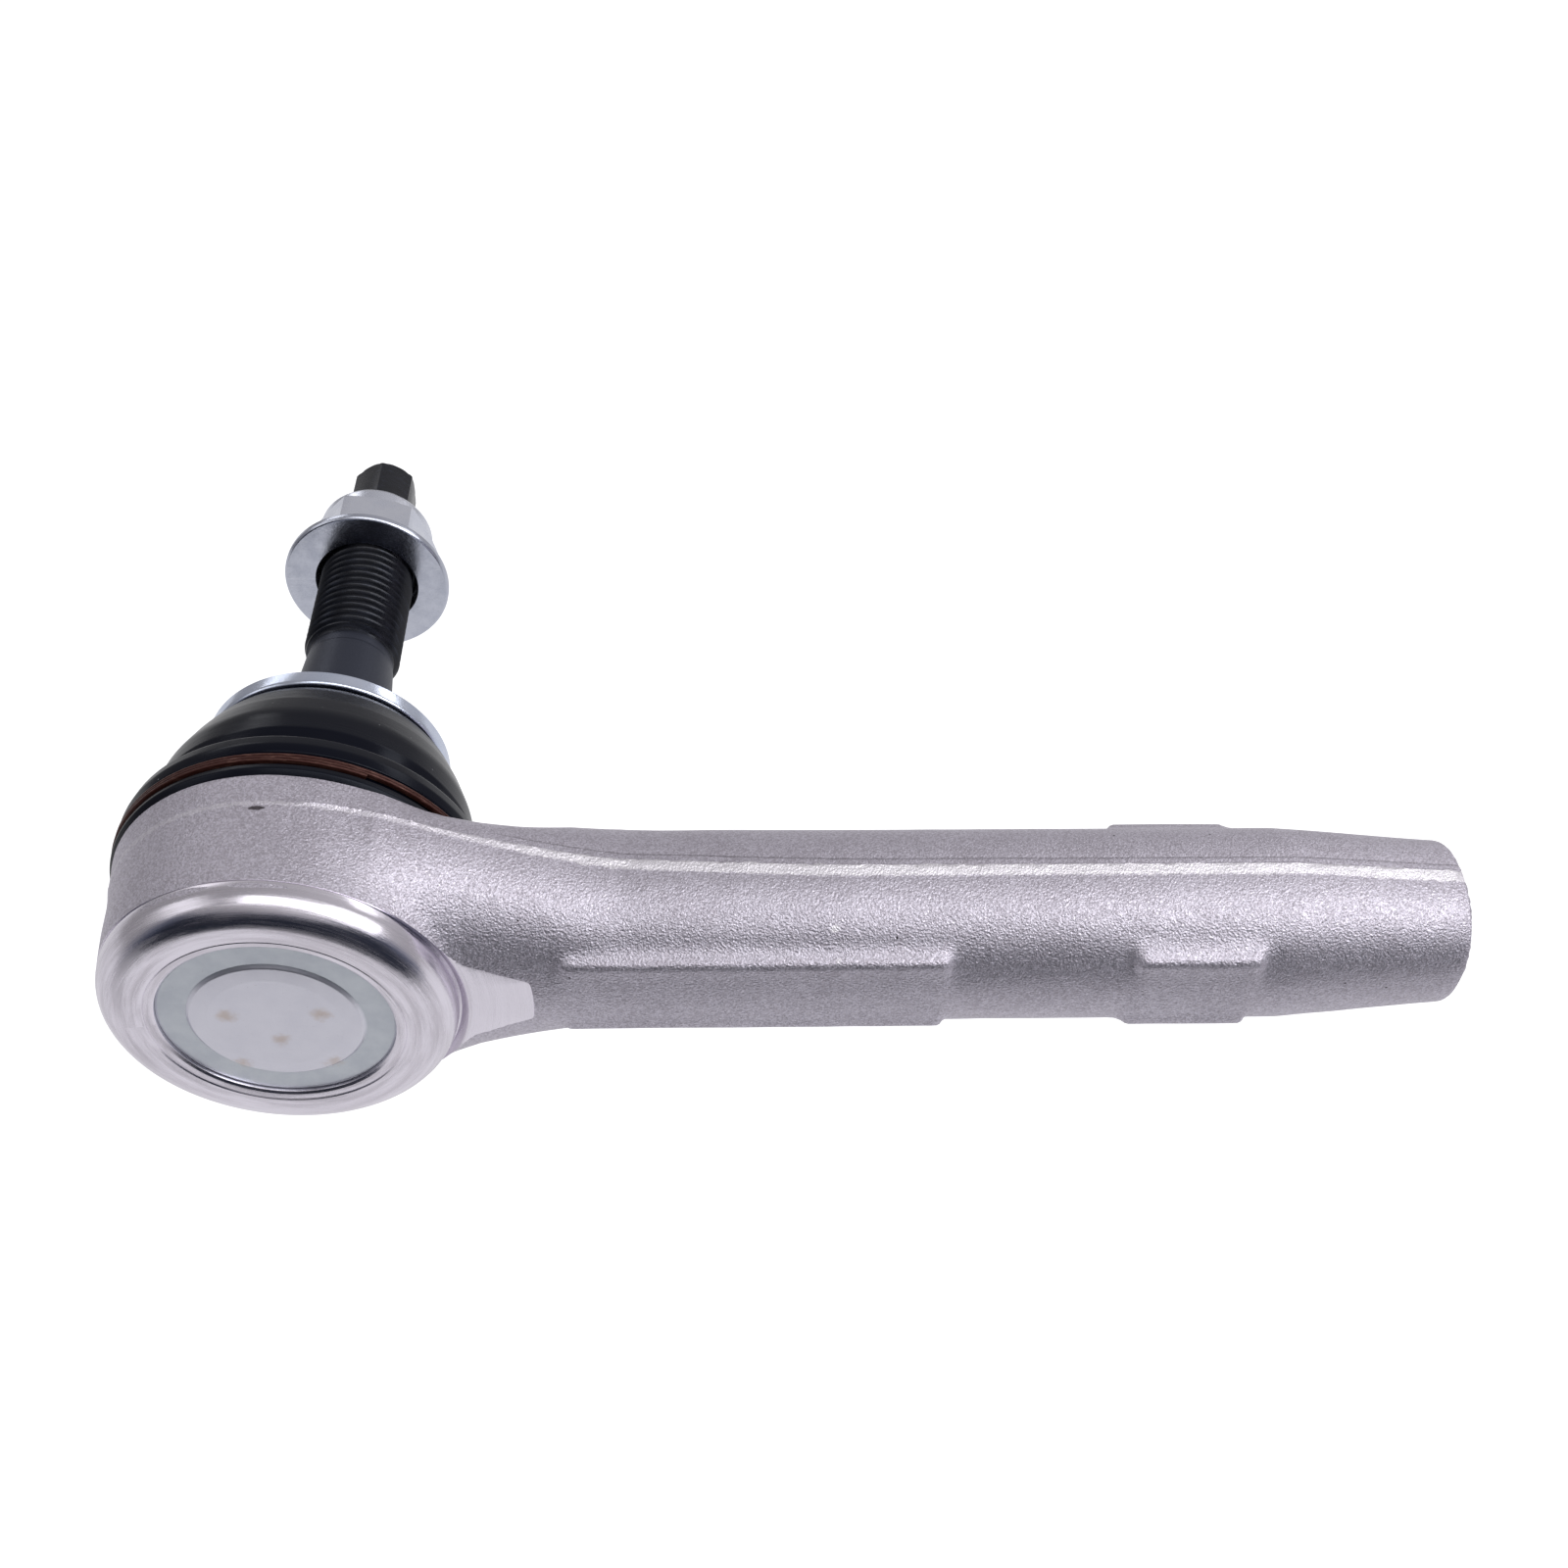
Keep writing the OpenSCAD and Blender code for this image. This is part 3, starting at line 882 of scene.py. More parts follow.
class ThreadTube(NodeShape):
    """An open tube with a screw thread, whose two rims are plain circles."""

    POINTS_PER_PITCH = 8

    def __init__(self) -> None:
        """Builds the tree: a grid wrapped along the helix, clamped to its two rims."""
        super().__init__("thread_tube", [
            ("Material", MATERIAL, None), ("Segments", INT, 96), ("Rows", INT, 100),
            ("Pitch", FLOAT, 1.5 * MM), ("Crest Radius", FLOAT, 7 * MM),
            ("Root Radius", FLOAT, 6 * MM), ("Crest Flat", FLOAT, 0.14),
            ("First Turn", FLOAT, 0.0), ("Start", FLOAT, 0.0), ("End", FLOAT, 1.0),
            ("Start Radius", FLOAT, 0.006), ("End Radius", FLOAT, 0.006), ("Lead", FLOAT, MM)])
        sheet, given, m = self.sheet, self.given, self.sheet.maths
        grid = sheet.add("GeometryNodeMeshGrid", {
            "Size X": 1.0, "Size Y": 1.0, "Vertices X": m("ADD", given["Segments"], 1),
            "Vertices Y": m("ADD", given["Rows"], 1)})
        place = sheet.add("GeometryNodeInputPosition").outputs[0]
        u, v = sheet.add("ShaderNodeSeparateXYZ", {0: place}).outputs[:2]
        turn = m("ADD", u, 0.5)
        pitches = m("DIVIDE", m("MULTIPLY", m("ADD", v, 0.5), given["Rows"]), self.POINTS_PER_PITCH)
        raw = m("ADD", given["First Turn"], m("MULTIPLY", m("ADD", pitches, turn), given["Pitch"]))
        height = m("MINIMUM", m("MAXIMUM", raw, given["Start"]), given["End"])
        steps = m("ROUND", m("MULTIPLY", pitches, self.POINTS_PER_PITCH))
        share = m("FRACT", m("DIVIDE", m("ADD", steps, 0.001), self.POINTS_PER_PITCH))
        saw = m("ABSOLUTE", m("SUBTRACT", m("MULTIPLY", share, 2.0), 1.0))
        flat = given["Crest Flat"]
        dip = m("DIVIDE", m("SUBTRACT", saw, flat), m("SUBTRACT", 1.0, m("MULTIPLY", flat, 2.0)),
                clamp=True)
        depth = m("SUBTRACT", given["Crest Radius"], given["Root Radius"])
        radius = m("SUBTRACT", given["Crest Radius"], m("MULTIPLY", dip, depth))
        for gap, rim in ((m("SUBTRACT", height, given["Start"]), given["Start Radius"]),
                         (m("SUBTRACT", given["End"], height), given["End Radius"])):
            full = m("DIVIDE", gap, given["Lead"], clamp=True)
            radius = m("ADD", rim, m("MULTIPLY", full, m("SUBTRACT", radius, rim)))
        angle = m("MULTIPLY", turn, math.tau)
        spot = sheet.add("ShaderNodeCombineXYZ", {0: m("MULTIPLY", radius, m("COSINE", angle)),
                                                  1: m("MULTIPLY", radius, m("SINE", angle)),
                                                  2: height})
        wrapped = sheet.add("GeometryNodeSetPosition", {"Geometry": grid.outputs[0],
                                                        "Position": spot.outputs[0]})
        merged = sheet.add("GeometryNodeMergeByDistance", {"Geometry": wrapped.outputs[0],
                                                           "Distance": 1e-6})
        self.close(merged.outputs[0])

    def cut(self, name: str, finish: Finish, pitch: float, crest: float, root: float,
            phase: float, start: float, end: float, rims: Point, lead: float = 1.2
            ) -> bpy.types.Mesh:
        """Makes one threaded tube.

        Args:
            name: the mesh's name.
            finish: its finish.
            pitch: thread pitch, mm.
            crest: larger radius, mm.
            root: smaller radius, mm.
            phase: a height at which the root lies at angle zero, mm.
            start: height of the lower rim, mm.
            end: height of the upper rim, mm.
            rims: radii of the lower and the upper rim, mm.
            lead: length over which the thread fades into a rim, mm.

        Returns:
            The tube, open at both rims.
        """
        first = phase - pitch * (math.ceil((phase - start) / pitch) + 1)
        rows = (math.ceil((end - first) / pitch) + 1) * self.POINTS_PER_PITCH
        return self.mesh(name, {
            "Material": finish.material(), "Segments": 96, "Rows": rows, "Pitch": pitch * MM,
            "Crest Radius": crest * MM, "Root Radius": root * MM, "First Turn": first * MM,
            "Start": start * MM, "End": end * MM, "Start Radius": rims[0] * MM,
            "End Radius": rims[1] * MM, "Lead": lead * MM})


class WireCoil(NodeShape):
    """A flat wire wound in a close helix, with square ends."""

    def __init__(self) -> None:
        """Builds the tree: a spiral with a rounded rectangle swept along it."""
        super().__init__("wire_coil", [
            ("Material", MATERIAL, None), ("Radius", FLOAT, 0.02), ("Turns", FLOAT, 2.5),
            ("Rise", FLOAT, 0.0005), ("Width", FLOAT, 0.0008), ("Thickness", FLOAT, 0.0004),
            ("Spread", FLOAT, 0.0), ("Height", FLOAT, 0.0), ("Start Angle", FLOAT, 0.0)])
        sheet, given, m = self.sheet, self.given, self.sheet.maths
        spiral = sheet.add("GeometryNodeCurveSpiral", {
            "Resolution": 128, "Rotations": given["Turns"], "Start Radius": given["Radius"],
            "End Radius": m("ADD", given["Radius"], given["Spread"]),
            "Height": m("MULTIPLY", given["Turns"], given["Rise"]), "Reverse": False})
        upright = sheet.add("GeometryNodeSetCurveNormal", {"Curve": spiral.outputs[0]})
        upright.mode = "Z_UP"
        section = sheet.add("GeometryNodeCurvePrimitiveQuadrilateral", {
            "Width": given["Width"], "Height": given["Thickness"]})
        soft = sheet.add("GeometryNodeFilletCurve", {
            "Curve": section.outputs[0], "Radius": m("MULTIPLY", given["Thickness"], 0.42)})
        soft.mode = "POLY"
        soft.inputs["Count"].default_value = 3
        swept = sheet.add("GeometryNodeCurveToMesh", {
            "Curve": upright.outputs[0], "Profile Curve": soft.outputs[0], "Fill Caps": True})
        lift = sheet.add("ShaderNodeCombineXYZ", {2: given["Height"]})
        spin = sheet.add("ShaderNodeCombineXYZ", {2: given["Start Angle"]})
        placed = sheet.add("GeometryNodeTransform", {
            "Geometry": swept.outputs[0], "Translation": lift.outputs[0],
            "Rotation": spin.outputs[0]})
        self.close(placed.outputs[0])


# -------------------------------------------------------------------- housing


def soft_min(first: np.ndarray, second: np.ndarray, reach: float) -> np.ndarray:
    """Union of two distance fields with a fillet of about that reach, mm."""
    share = np.clip(0.5 + 0.5 * (second - first) / reach, 0, 1)
    return second + (first - second) * share - reach * share * (1 - share)


def lattice_noise(points: np.ndarray, cell: float, seed: int) -> np.ndarray:
    """Smooth noise from -1 to 1.

    Args:
        points: places, mm.
        cell: size of one lattice cell, mm.
        seed: fixed seed.

    Returns:
        One value for each place.
    """
    scaled = points / cell
    base = np.floor(scaled).astype(np.int64)
    part = scaled - base
    part = part * part * (3 - 2 * part)
    total = np.zeros(len(points))
    for corner in np.ndindex(2, 2, 2):
        at = base + np.array(corner)
        mixed = (at[:, 0] * 374761393 + at[:, 1] * 668265263 + at[:, 2] * 951274213
                 + seed * 974634777) & 0x7FFFFFFF
        mixed = ((mixed ^ (mixed >> 13)) * 1274126177) & 0x7FFFFFFF
        value = (mixed ^ (mixed >> 16)) / 0x3FFFFFFF - 1
        weight = np.prod(np.where(np.array(corner) == 1, part, 1 - part), axis=1)
        total += value * weight
    return total


@dataclass
class Pad:
    """A flat-topped boss on the shank, with drafted sides."""

    start: float
    end: float
    half_width: float
    height: float
    both_sides: bool
    draft: float = 0.3

    def distance(self, x: np.ndarray, y: np.ndarray, z: np.ndarray) -> np.ndarray:
        """Distance to the pad.

        Args:
            x: places along the shank, mm.
            y: places across it, mm.
            z: heights, mm.

        Returns:
            Distances, mm, negative inside.
        """
        level = np.abs(z) if self.both_sides else -z
        slack = np.maximum(self.height - level, 0) * self.draft
        mid, half = (self.start + self.end) / 2, (self.end - self.start) / 2
        edge = 0.7
        qx = np.abs(x - mid) - half - slack * 0.8 + edge
        qy = np.abs(y) - self.half_width - slack + edge
        qz = level - self.height + edge
        if not self.both_sides:
            qz = np.maximum(qz, z + edge)
        outside = np.sqrt(np.maximum(qx, 0) ** 2 + np.maximum(qy, 0) ** 2 + np.maximum(qz, 0) ** 2)
        return outside + np.minimum(np.maximum(np.maximum(qx, qy), qz), 0) - edge


@dataclass
class Housing:
    """Forged head, neck and shank, blasted, then turned at the head and tapped at the end."""

    shank_r: float = 12.0
    shank_end_r: float = 10.3
    shank_x: float = 147.2
    end_round: float = 0.75
    squareness: float = 2.1
    neck_end: float = 42.0
    neck_reach: float = 29.0
    neck_gain: float = 0.0893
    neck_power: float = 1.36
    facing_z: float = -12.0
    facing_r: float = 30.8
    lip_centre: Point = (17.6, -11.65)
    lip_round: float = 3.95
    lip_from: float = 6.5
    cap_face_r: float = 14.25
    bore_r: float = 15.8
    groove_r: float = 20.4
    shoulder_z: float = 3.9
    top_z: float = 10.4
    tap_minor_r: float = 7.19
    tap_major_r: float = 8.05
    tap_depth: float = 52.0
    tap_pitch: float = 1.5
    cell: Sequence[float] = (0.7, 0.56, 0.52)
    pads: list[Pad] = field(default_factory=lambda: [
        Pad(34.5, 81.5, 6.2, 11.95, False), Pad(105.0, 120.0, 6.1, 12.05, True, 0.45)])

    def section(self, x: np.ndarray) -> tuple[np.ndarray, np.ndarray, np.ndarray]:
        """Half sizes of the neck's and the shank's section at x.

        Args:
            x: distances along the shank, mm.

        Returns:
            Half width, half height above the axis and half height below it.
        """
        reach = np.clip(self.neck_end - x, 0, self.neck_reach)
        wide = self.shank_r + self.neck_gain * reach ** self.neck_power
        above = np.interp(x, (18, 24, 29, 35, 41, 46), (8.4, 9.0, 9.8, 11.6, 12.2, self.shank_r))
        below = np.interp(x, (16, 20, 23, 27, 31, 36, 44),
                          (15.0, 13.8, 12.95, 12.55, 12.25, 12.15, self.shank_r))
        taper = np.clip((x - 125.0) / 22.0, 0, 1.2) * (self.shank_r - self.shank_end_r)
        return wide - taper, above - taper, below - taper

    def bar(self, x: np.ndarray, y: np.ndarray, z: np.ndarray) -> np.ndarray:
        """Distance to the neck and shank, with the rounded end.

        Args:
            x: places along the shank, mm.
            y: places across it, mm.
            z: heights, mm.

        Returns:
            Distances, mm, negative inside.
        """
        wide, above, below = self.section(x)
        tall = np.where(z > 0, above, below)
        power = self.squareness
        size = ((np.abs(y) / wide) ** power + (np.abs(z) / tall) ** power) ** (1 / power)
        side = (size - 1) * np.minimum(wide, tall)
        over = np.maximum(side + self.end_round, 0)
        beyond = np.maximum(x - self.shank_x + self.end_round, 0)
        tip = np.hypot(over, beyond) - self.end_round
        return np.maximum(np.where(beyond > 0, tip, side), 6.0 - x)

    def head(self, x: np.ndarray, y: np.ndarray, z: np.ndarray) -> np.ndarray:
        """Distance to the head's forged drum, mm, negative inside."""
        radius = np.hypot(x, y)
        drum = np.interp(z, (-18, -11.6, -7.6, -3.6, 0.4, 3.6, 12),
                         (21.1, 21.55, 22.0, 22.35, 22.9, 23.3, 23.5))
        return np.maximum(radius - drum, np.maximum(z - 12.5, -18.0 - z))

    def blank(self, points: np.ndarray, fine: bool) -> np.ndarray:
        """Distance to the forging before it is machined.

        Args:
            points: places, mm.
            fine: True adds the uneven skin and the flash line.

        Returns:
            Distances, mm, negative inside.
        """
        x, y, z = points.T
        found = soft_min(self.head(x, y, z), self.bar(x, y, z), 2.2)
        for pad in self.pads:
            found = soft_min(found, pad.distance(x, y, z), 0.9)
        if fine:
            ragged = 0.15 * lattice_noise(points, 0.9, 5)
            rise = z - FLASH.level(x)
            narrow, wide = FLASH.widening
            along = np.clip((x - narrow) / (wide - narrow), 0, 1)
            half = FLASH.head_half + (FLASH.shank_half - FLASH.head_half) * along
            height = FLASH.head_rise + (FLASH.shank_rise - FLASH.head_rise) * along
            ramp = np.clip((rise + ragged + half) / (2 * half), 0, 1)
            ridge = ramp * np.clip((half + 0.2 - rise - ragged) / 0.25, 0, 1)
            ridge *= np.clip((self.shank_x - 0.4 - x) / 1.5, 0, 1)
            ridge *= height * (1 + 0.4 * lattice_noise(points, 0.7, 7))
            found -= ridge
            scribed = np.clip((0.3 - np.abs(rise - FLASH.scribe_up)) / 0.2, 0, 1)
            found += 0.07 * scribed * np.clip((x - 20) / 14, 0, 1)
            found += 0.07 * lattice_noise(points, 11.0, 1) + 0.03 * lattice_noise(points, 3.5, 2)
        return found

    def grid(self) -> list[np.ndarray]:
        """Lattice lines of the blank, closer together at the flash line.

        Returns:
            The lines along x, y and z, mm.
        """
        along = np.arange(-25.0, self.shank_x + 2.5, self.cell[0])
        across = np.arange(-26.0, 26.3, self.cell[1])
        close = np.arange(FLASH.shank_z - 1.2, FLASH.head_z + 0.9, 0.22)
        below = np.arange(close[0] - self.cell[2], -19.5, -self.cell[2])[::-1]
        above = np.arange(close[-1] + self.cell[2], 14.0, self.cell[2])
        return [along, across, np.concatenate([below, close, above])]

    def forge(self) -> bpy.types.Mesh:
        """Meshes the blank with a surface net whose points are drawn onto the true surface.

        Returns:
            The closed blank.
        """
        lines = self.grid()
        shape = tuple(len(a) for a in lines)
        places = np.stack(np.meshgrid(*lines, indexing="ij"), axis=-1)
        values = self.blank(places.reshape(-1, 3), False).reshape(shape)
        inside = values < 0
        cells = tuple(n - 1 for n in shape)
        total, count = np.zeros(cells + (3,)), np.zeros(cells)
        for axis in range(3):
            low = [slice(None)] * 3
            high = [slice(None)] * 3
            low[axis], high[axis] = slice(0, -1), slice(1, None)
            a, b = values[tuple(low)], values[tuple(high)]
            cross = inside[tuple(low)] != inside[tuple(high)]
            share = np.where(cross, a / np.where(cross, a - b, 1), 0)[..., None]
            spot = places[tuple(low)] * (1 - share) + places[tuple(high)] * share
            others = [k for k in range(3) if k != axis]
            for first in (0, 1):
                for second in (0, 1):
                    pick = [slice(None)] * 3
                    pick[others[0]] = slice(first, first + cells[others[0]])
                    pick[others[1]] = slice(second, second + cells[others[1]])
                    hit = cross[tuple(pick)]
                    total += spot[tuple(pick)] * hit[..., None]
                    count += hit
        used = count > 0
        number = np.full(cells, -1)
        number[used] = np.arange(int(used.sum()))
        points = self.settle(total[used] / count[used][:, None])
        return mesh_from("forging", points, self.net(inside, number))

    def settle(self, points: np.ndarray) -> np.ndarray:
        """Moves the net's points onto the fine surface.

        Args:
            points: the net's points, mm.

        Returns:
            The settled points, mm.
        """
        step = 0.03
        for _ in range(5):
            value = self.blank(points, True)
            slope = np.stack([(self.blank(points + offset, True)
                               - self.blank(points - offset, True)) / (2 * step)
                              for offset in np.eye(3) * step], axis=-1)
            scale = np.maximum((slope ** 2).sum(1), 0.2)
            move = -slope * (value / scale)[:, None]
            length = np.linalg.norm(move, axis=1)[:, None]
            points = points + move * np.minimum(1, 0.25 / np.maximum(length, 1e-9))
        return points

    @staticmethod
    def net(inside: np.ndarray, number: np.ndarray) -> list[tuple[int, ...]]:
        """Faces of the surface net.

        Args:
            inside: True at the lattice points inside the metal.
            number: vertex number of each cell.

        Returns:
            Four vertex numbers for each face, facing outwards.
        """
        faces: list[tuple[int, ...]] = []
        for axis in range(3):
            others = [k for k in range(3) if k != axis]
            low = [slice(1, -1)] * 3
            high = [slice(1, -1)] * 3
            low[axis], high[axis] = slice(0, -1), slice(1, None)
            a, b = inside[tuple(low)], inside[tuple(high)]
            corners = []
            for first, second in ((0, 0), (1, 0), (1, 1), (0, 1)):
                pick = [slice(None)] * 3
                pick[others[0]] = slice(first, number.shape[others[0]] - 1 + first)
                pick[others[1]] = slice(second, number.shape[others[1]] - 1 + second)
                corners.append(number[tuple(pick)])
            ring = np.stack(corners, axis=-1)
            leaving, entering = ring[a & ~b], ring[b & ~a]
            if axis == 1:
                leaving, entering = entering, leaving
            faces += [tuple(f) for f in leaving.tolist()]
            faces += [tuple(reversed(f)) for f in entering.tolist()]
        return faces

    def head_tool(self) -> bpy.types.Mesh:
        """Everything that turning removes from the head, as one solid about the stud's axis."""
        roll = arc(self.lip_centre, self.lip_round, self.lip_from, -84, 24)
        foot_r, foot_z = roll[0]
        below = rounded([(0, -22), (self.facing_r, -22), (self.facing_r, self.facing_z, 0.35),
                         (foot_r + 1.2, self.facing_z, 0.5), (foot_r + 0.3, foot_z, 0.2)])
        seat = rounded([(17.0, -15.57), (15.62, -15.42, 0.2), (15.5, -15.28, 0.05),
                        (15.38, -15.36, 0.2), (14.6, -15.22, 0.3), (self.cap_face_r, -15.0, 0.15),
                        (self.cap_face_r, -14.55), (16.4, -13.85), (16.4, -13.08),
                        (self.bore_r, -13.08)])
        top = rounded([(self.bore_r, 2.0), (12.6, 8.6, 0.5), (13.8, self.top_z),
                       (self.groove_r + 0.5, self.top_z, 0.4), (self.groove_r + 0.9, 9.6, 0.3),
                       (self.groove_r + 0.9, 8.6, 0.1), (self.groove_r, 8.3, 0.1),
                       (self.groove_r, self.shoulder_z, 0.25), (24.6, self.shoulder_z, 0.9),
                       (24.6, 16), (0, 16)])
        return lathe("head_tool", below + roll + seat + top, 240)

    def tap_tool(self, thread: ThreadTube) -> bpy.types.Mesh:
        """The drill and tap that make the shank's blind threaded bore.

        Args:
            thread: the thread's node shape.

        Returns:
            A closed solid along +X.
        """
        floor, mouth = self.shank_x - self.tap_depth, self.shank_x - 1.3
        tube = thread.cut("tap_thread", TAPPED, self.tap_pitch, self.tap_major_r, self.tap_minor_r,
                          floor, floor, mouth, (self.tap_minor_r, self.tap_major_r), 2.0)
        drill = lathe("drill", [(0, floor - self.tap_minor_r * 0.6), (self.tap_minor_r, floor)],
                      96, False)
        relief = lathe("relief", [(self.tap_major_r, mouth), (self.tap_major_r + 1.6,
                                                              self.shank_x + 0.3),
                                  (self.tap_major_r + 1.6, self.shank_x + 3),
                                  (0, self.shank_x + 3)], 96, False)
        tool = joined("tap_tool", tube, drill, relief)
        tool.transform(Matrix.Rotation(math.pi / 2, 4, "Y"))
        return tool

    def build(self, thread: ThreadTube) -> bpy.types.Object:
        """Forges, machines and dresses the housing.

        Args:
            thread: the thread's node shape.

        Returns:
            The finished piece.
        """
        finishes = (FORGED, TURNED, TAPPED)
        piece = new_object("forged_housing", self.forge())
        tools = [new_object("head_tool", self.head_tool()),
                 new_object("tap_tool", self.tap_tool(thread))]
        for cutter in [piece, *tools]:
            cutter.data.materials.clear()
            for finish in finishes:
                cutter.data.materials.append(finish.material())
        for slot, cutter in enumerate(tools, start=1):
            cutter.data.polygons.foreach_set("material_index",
                                             [slot] * len(cutter.data.polygons))
            cut = piece.modifiers.new(cutter.name, "BOOLEAN")
            cut.operation, cut.solver, cut.object = "DIFFERENCE", "MANIFOLD", cutter
        bpy.context.view_layer.update()
        graph = bpy.context.evaluated_depsgraph_get()
        machined = bpy.data.meshes.new_from_object(piece.evaluated_get(graph))
        machined.name = "forged_housing"
        piece.modifiers.clear()
        piece.data = machined
        for cutter in tools:
            bpy.data.objects.remove(cutter)
        marks = np.zeros(len(machined.polygons), np.int32)
        machined.polygons.foreach_get("material_index", marks)
        shade(machined, 30)
        dress(piece, Body.HOUSING, "blasted_aluminium", *finishes, stands_for=["housing"])
        machined.polygons.foreach_set("material_index", marks)
        return piece


# ------------------------------------------------------- cap and clamp rings


@dataclass
class ClosingCap:
    """Pressed cover with a raised middle, held under the rolled lip."""

    face_z: float = -14.6
    face_r: float = 13.98
    disc_r: float = 10.7
    rise: float = 0.5
    sheet: float = 1.5
    rim_r: float = 16.3

    def build(self) -> bpy.types.Object:
        """Turns and dresses the cap.

        Returns:
            The finished piece.
        """
        z, back = self.face_z, self.face_z + self.sheet
        outline = rounded([
            (0, z - self.rise), (self.disc_r - 2.6, z - self.rise, 1.2),
            (self.disc_r - 0.45, z - self.rise * 0.72, 0.5), (self.disc_r, z, 0.1),
            (self.face_r, z, 0.08), (self.rim_r, -13.85, 0.1), (self.rim_r, back, 0.1),
            (self.disc_r - 0.5, back, 0.4), (self.disc_r - 1.0, back - self.rise, 0.4),
            (0, back - self.rise)])
        mesh = lathe("pressed_cap", outline)
        shade(mesh)
        return dress(new_object("pressed_cap", mesh), Body.HOUSING, "zinc_cap", DULL_ZINC,
                     stands_for=["closing_cap"])


@dataclass
class ClampRing:
    """Flat wire wound two or three times round the boot."""

    name: str
    node: str
    body: Body
    slot: str
    finish: Finish
    turns: float
    wire_width: float
    start_angle: float

    def build(self, coil: WireCoil) -> bpy.types.Object:
        """Winds and dresses the ring inside its CAD band.

        Args:
            coil: the wire's node shape.

        Returns:
            The finished piece.
        """
        low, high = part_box(self.node)
        space = high.z - low.z
        thickness = space / (self.turns + 1) * 0.93
        rise = (space - thickness) / self.turns
        mesh = coil.mesh(self.name, {
            "Material": self.finish.material(), "Turns": self.turns, "Rise": rise,
            "Radius": high.x - self.wire_width * MM / 2, "Width": self.wire_width * MM,
            "Thickness": thickness, "Height": low.z + thickness / 2,
            "Start Angle": math.radians(self.start_angle)})
        tidy(mesh)
        shade(mesh)
        return dress(new_object(self.name, mesh), self.body, self.slot, self.finish,
                     stands_for=[self.node])


# ----------------------------------------------------------------------- boot


@dataclass
class DustBoot:
    """Rubber bellows from the head's groove to the neck under the shield."""

    foot_r: float = 20.55
    foot_z: float = 4.05
    ring_bed_r: float = 22.9
    neck_r: float = 9.85
    neck_top_z: float = 29.3
    bend_from: float = 9.0
    bend_to: float = 27.0

    def outline(self) -> list[Point]:
        """Section of the rubber: foot, ring bed, bead, dome, neck and back inside."""
        z = self.foot_z
        outer = [(self.foot_r, z, 0.15), (23.1, z, 0.4), (23.72, 4.75, 0.5), (23.6, 5.6, 0.25),
                 (self.ring_bed_r, 5.8, 0.12), (self.ring_bed_r, 7.5, 0.12), (23.55, 7.75, 0.3),
                 (23.75, 9.0, 1.2), (23.35, 10.7, 1.0), (22.3, 11.6, 0.6), (20.8, 12.1, 0.5),
                 (21.3, 14.6, 1.2), (20.75, 18.3, 9.0), (19.25, 22.2, 9.0), (17.65, 25.6, 3.0),
                 (16.6, 27.2, 1.2), (15.3, 27.62, 0.6), (11.9, 27.7, 0.4)]
        neck = [(11.9, self.neck_top_z, 0.3), (self.neck_r, self.neck_top_z, 0.2),
                (self.neck_r, 22.4, 0.2)]
        inner = [(11.6, 22.4, 0.3), (12.4, 26, 0.6), (14.8, 26, 1.0), (15.9, 24.8, 1.5),
                 (17.5, 21.4, 4.0), (18.9, 17.9, 4.0), (20.0, 14, 1.0), (19.6, 12.3, 0.5),
                 (20.4, 11.2, 0.5), (21.6, 10.2, 0.5), (21.5, 8.75, 0.3), (self.foot_r, 8.3, 0.15)]
        ring = outer + neck + inner
        closed = rounded([ring[-1], *ring, ring[0]], 6)
        return closed[1:-1]

    def build(self) -> bpy.types.Object:
        """Moulds the boot between the head and the shield.

        Returns:
            The finished piece.
        """
        mesh = lathe("rubber_boot", self.outline(), 240)
        shade(mesh, 50)
        piece = new_object("rubber_boot", mesh)
        piece.data.materials.append(RUBBER.material())
        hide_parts("dust_boot")
        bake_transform(piece)
        LOG.info("%s: %d faces, bends at the neck", piece.name, len(mesh.polygons))
        return piece


@dataclass
class Shield:
    """Pressed washer with a turned-down rim over the boot's neck."""

    top_z: float = 30.6
    rim_r: float = 16.54
    hole_r: float = 8.3

    def build(self) -> bpy.types.Object:
        """Turns and dresses the shield.

        Returns:
            The finished piece.
        """
        z = self.top_z
        outline = rounded([
            (self.hole_r, z - 1, 0.1), (14.6, z - 1, 0.3), (14.6, z - 2.4, 0.2),
            (self.rim_r - 0.1, z - 2.4, 0.7), (self.rim_r, z - 0.3, 0.1),
            (self.rim_r - 0.3, z, 0.25), (self.hole_r, z, 0.15)])
        mesh = lathe("dished_shield", outline)
        shade(mesh)
        return dress(new_object("dished_shield", mesh), Body.NECK, "bright_zinc", SHIELD_ZINC,
                     stands_for=["shield_washer"])


# ---------------------------------------------------------------- ball stud


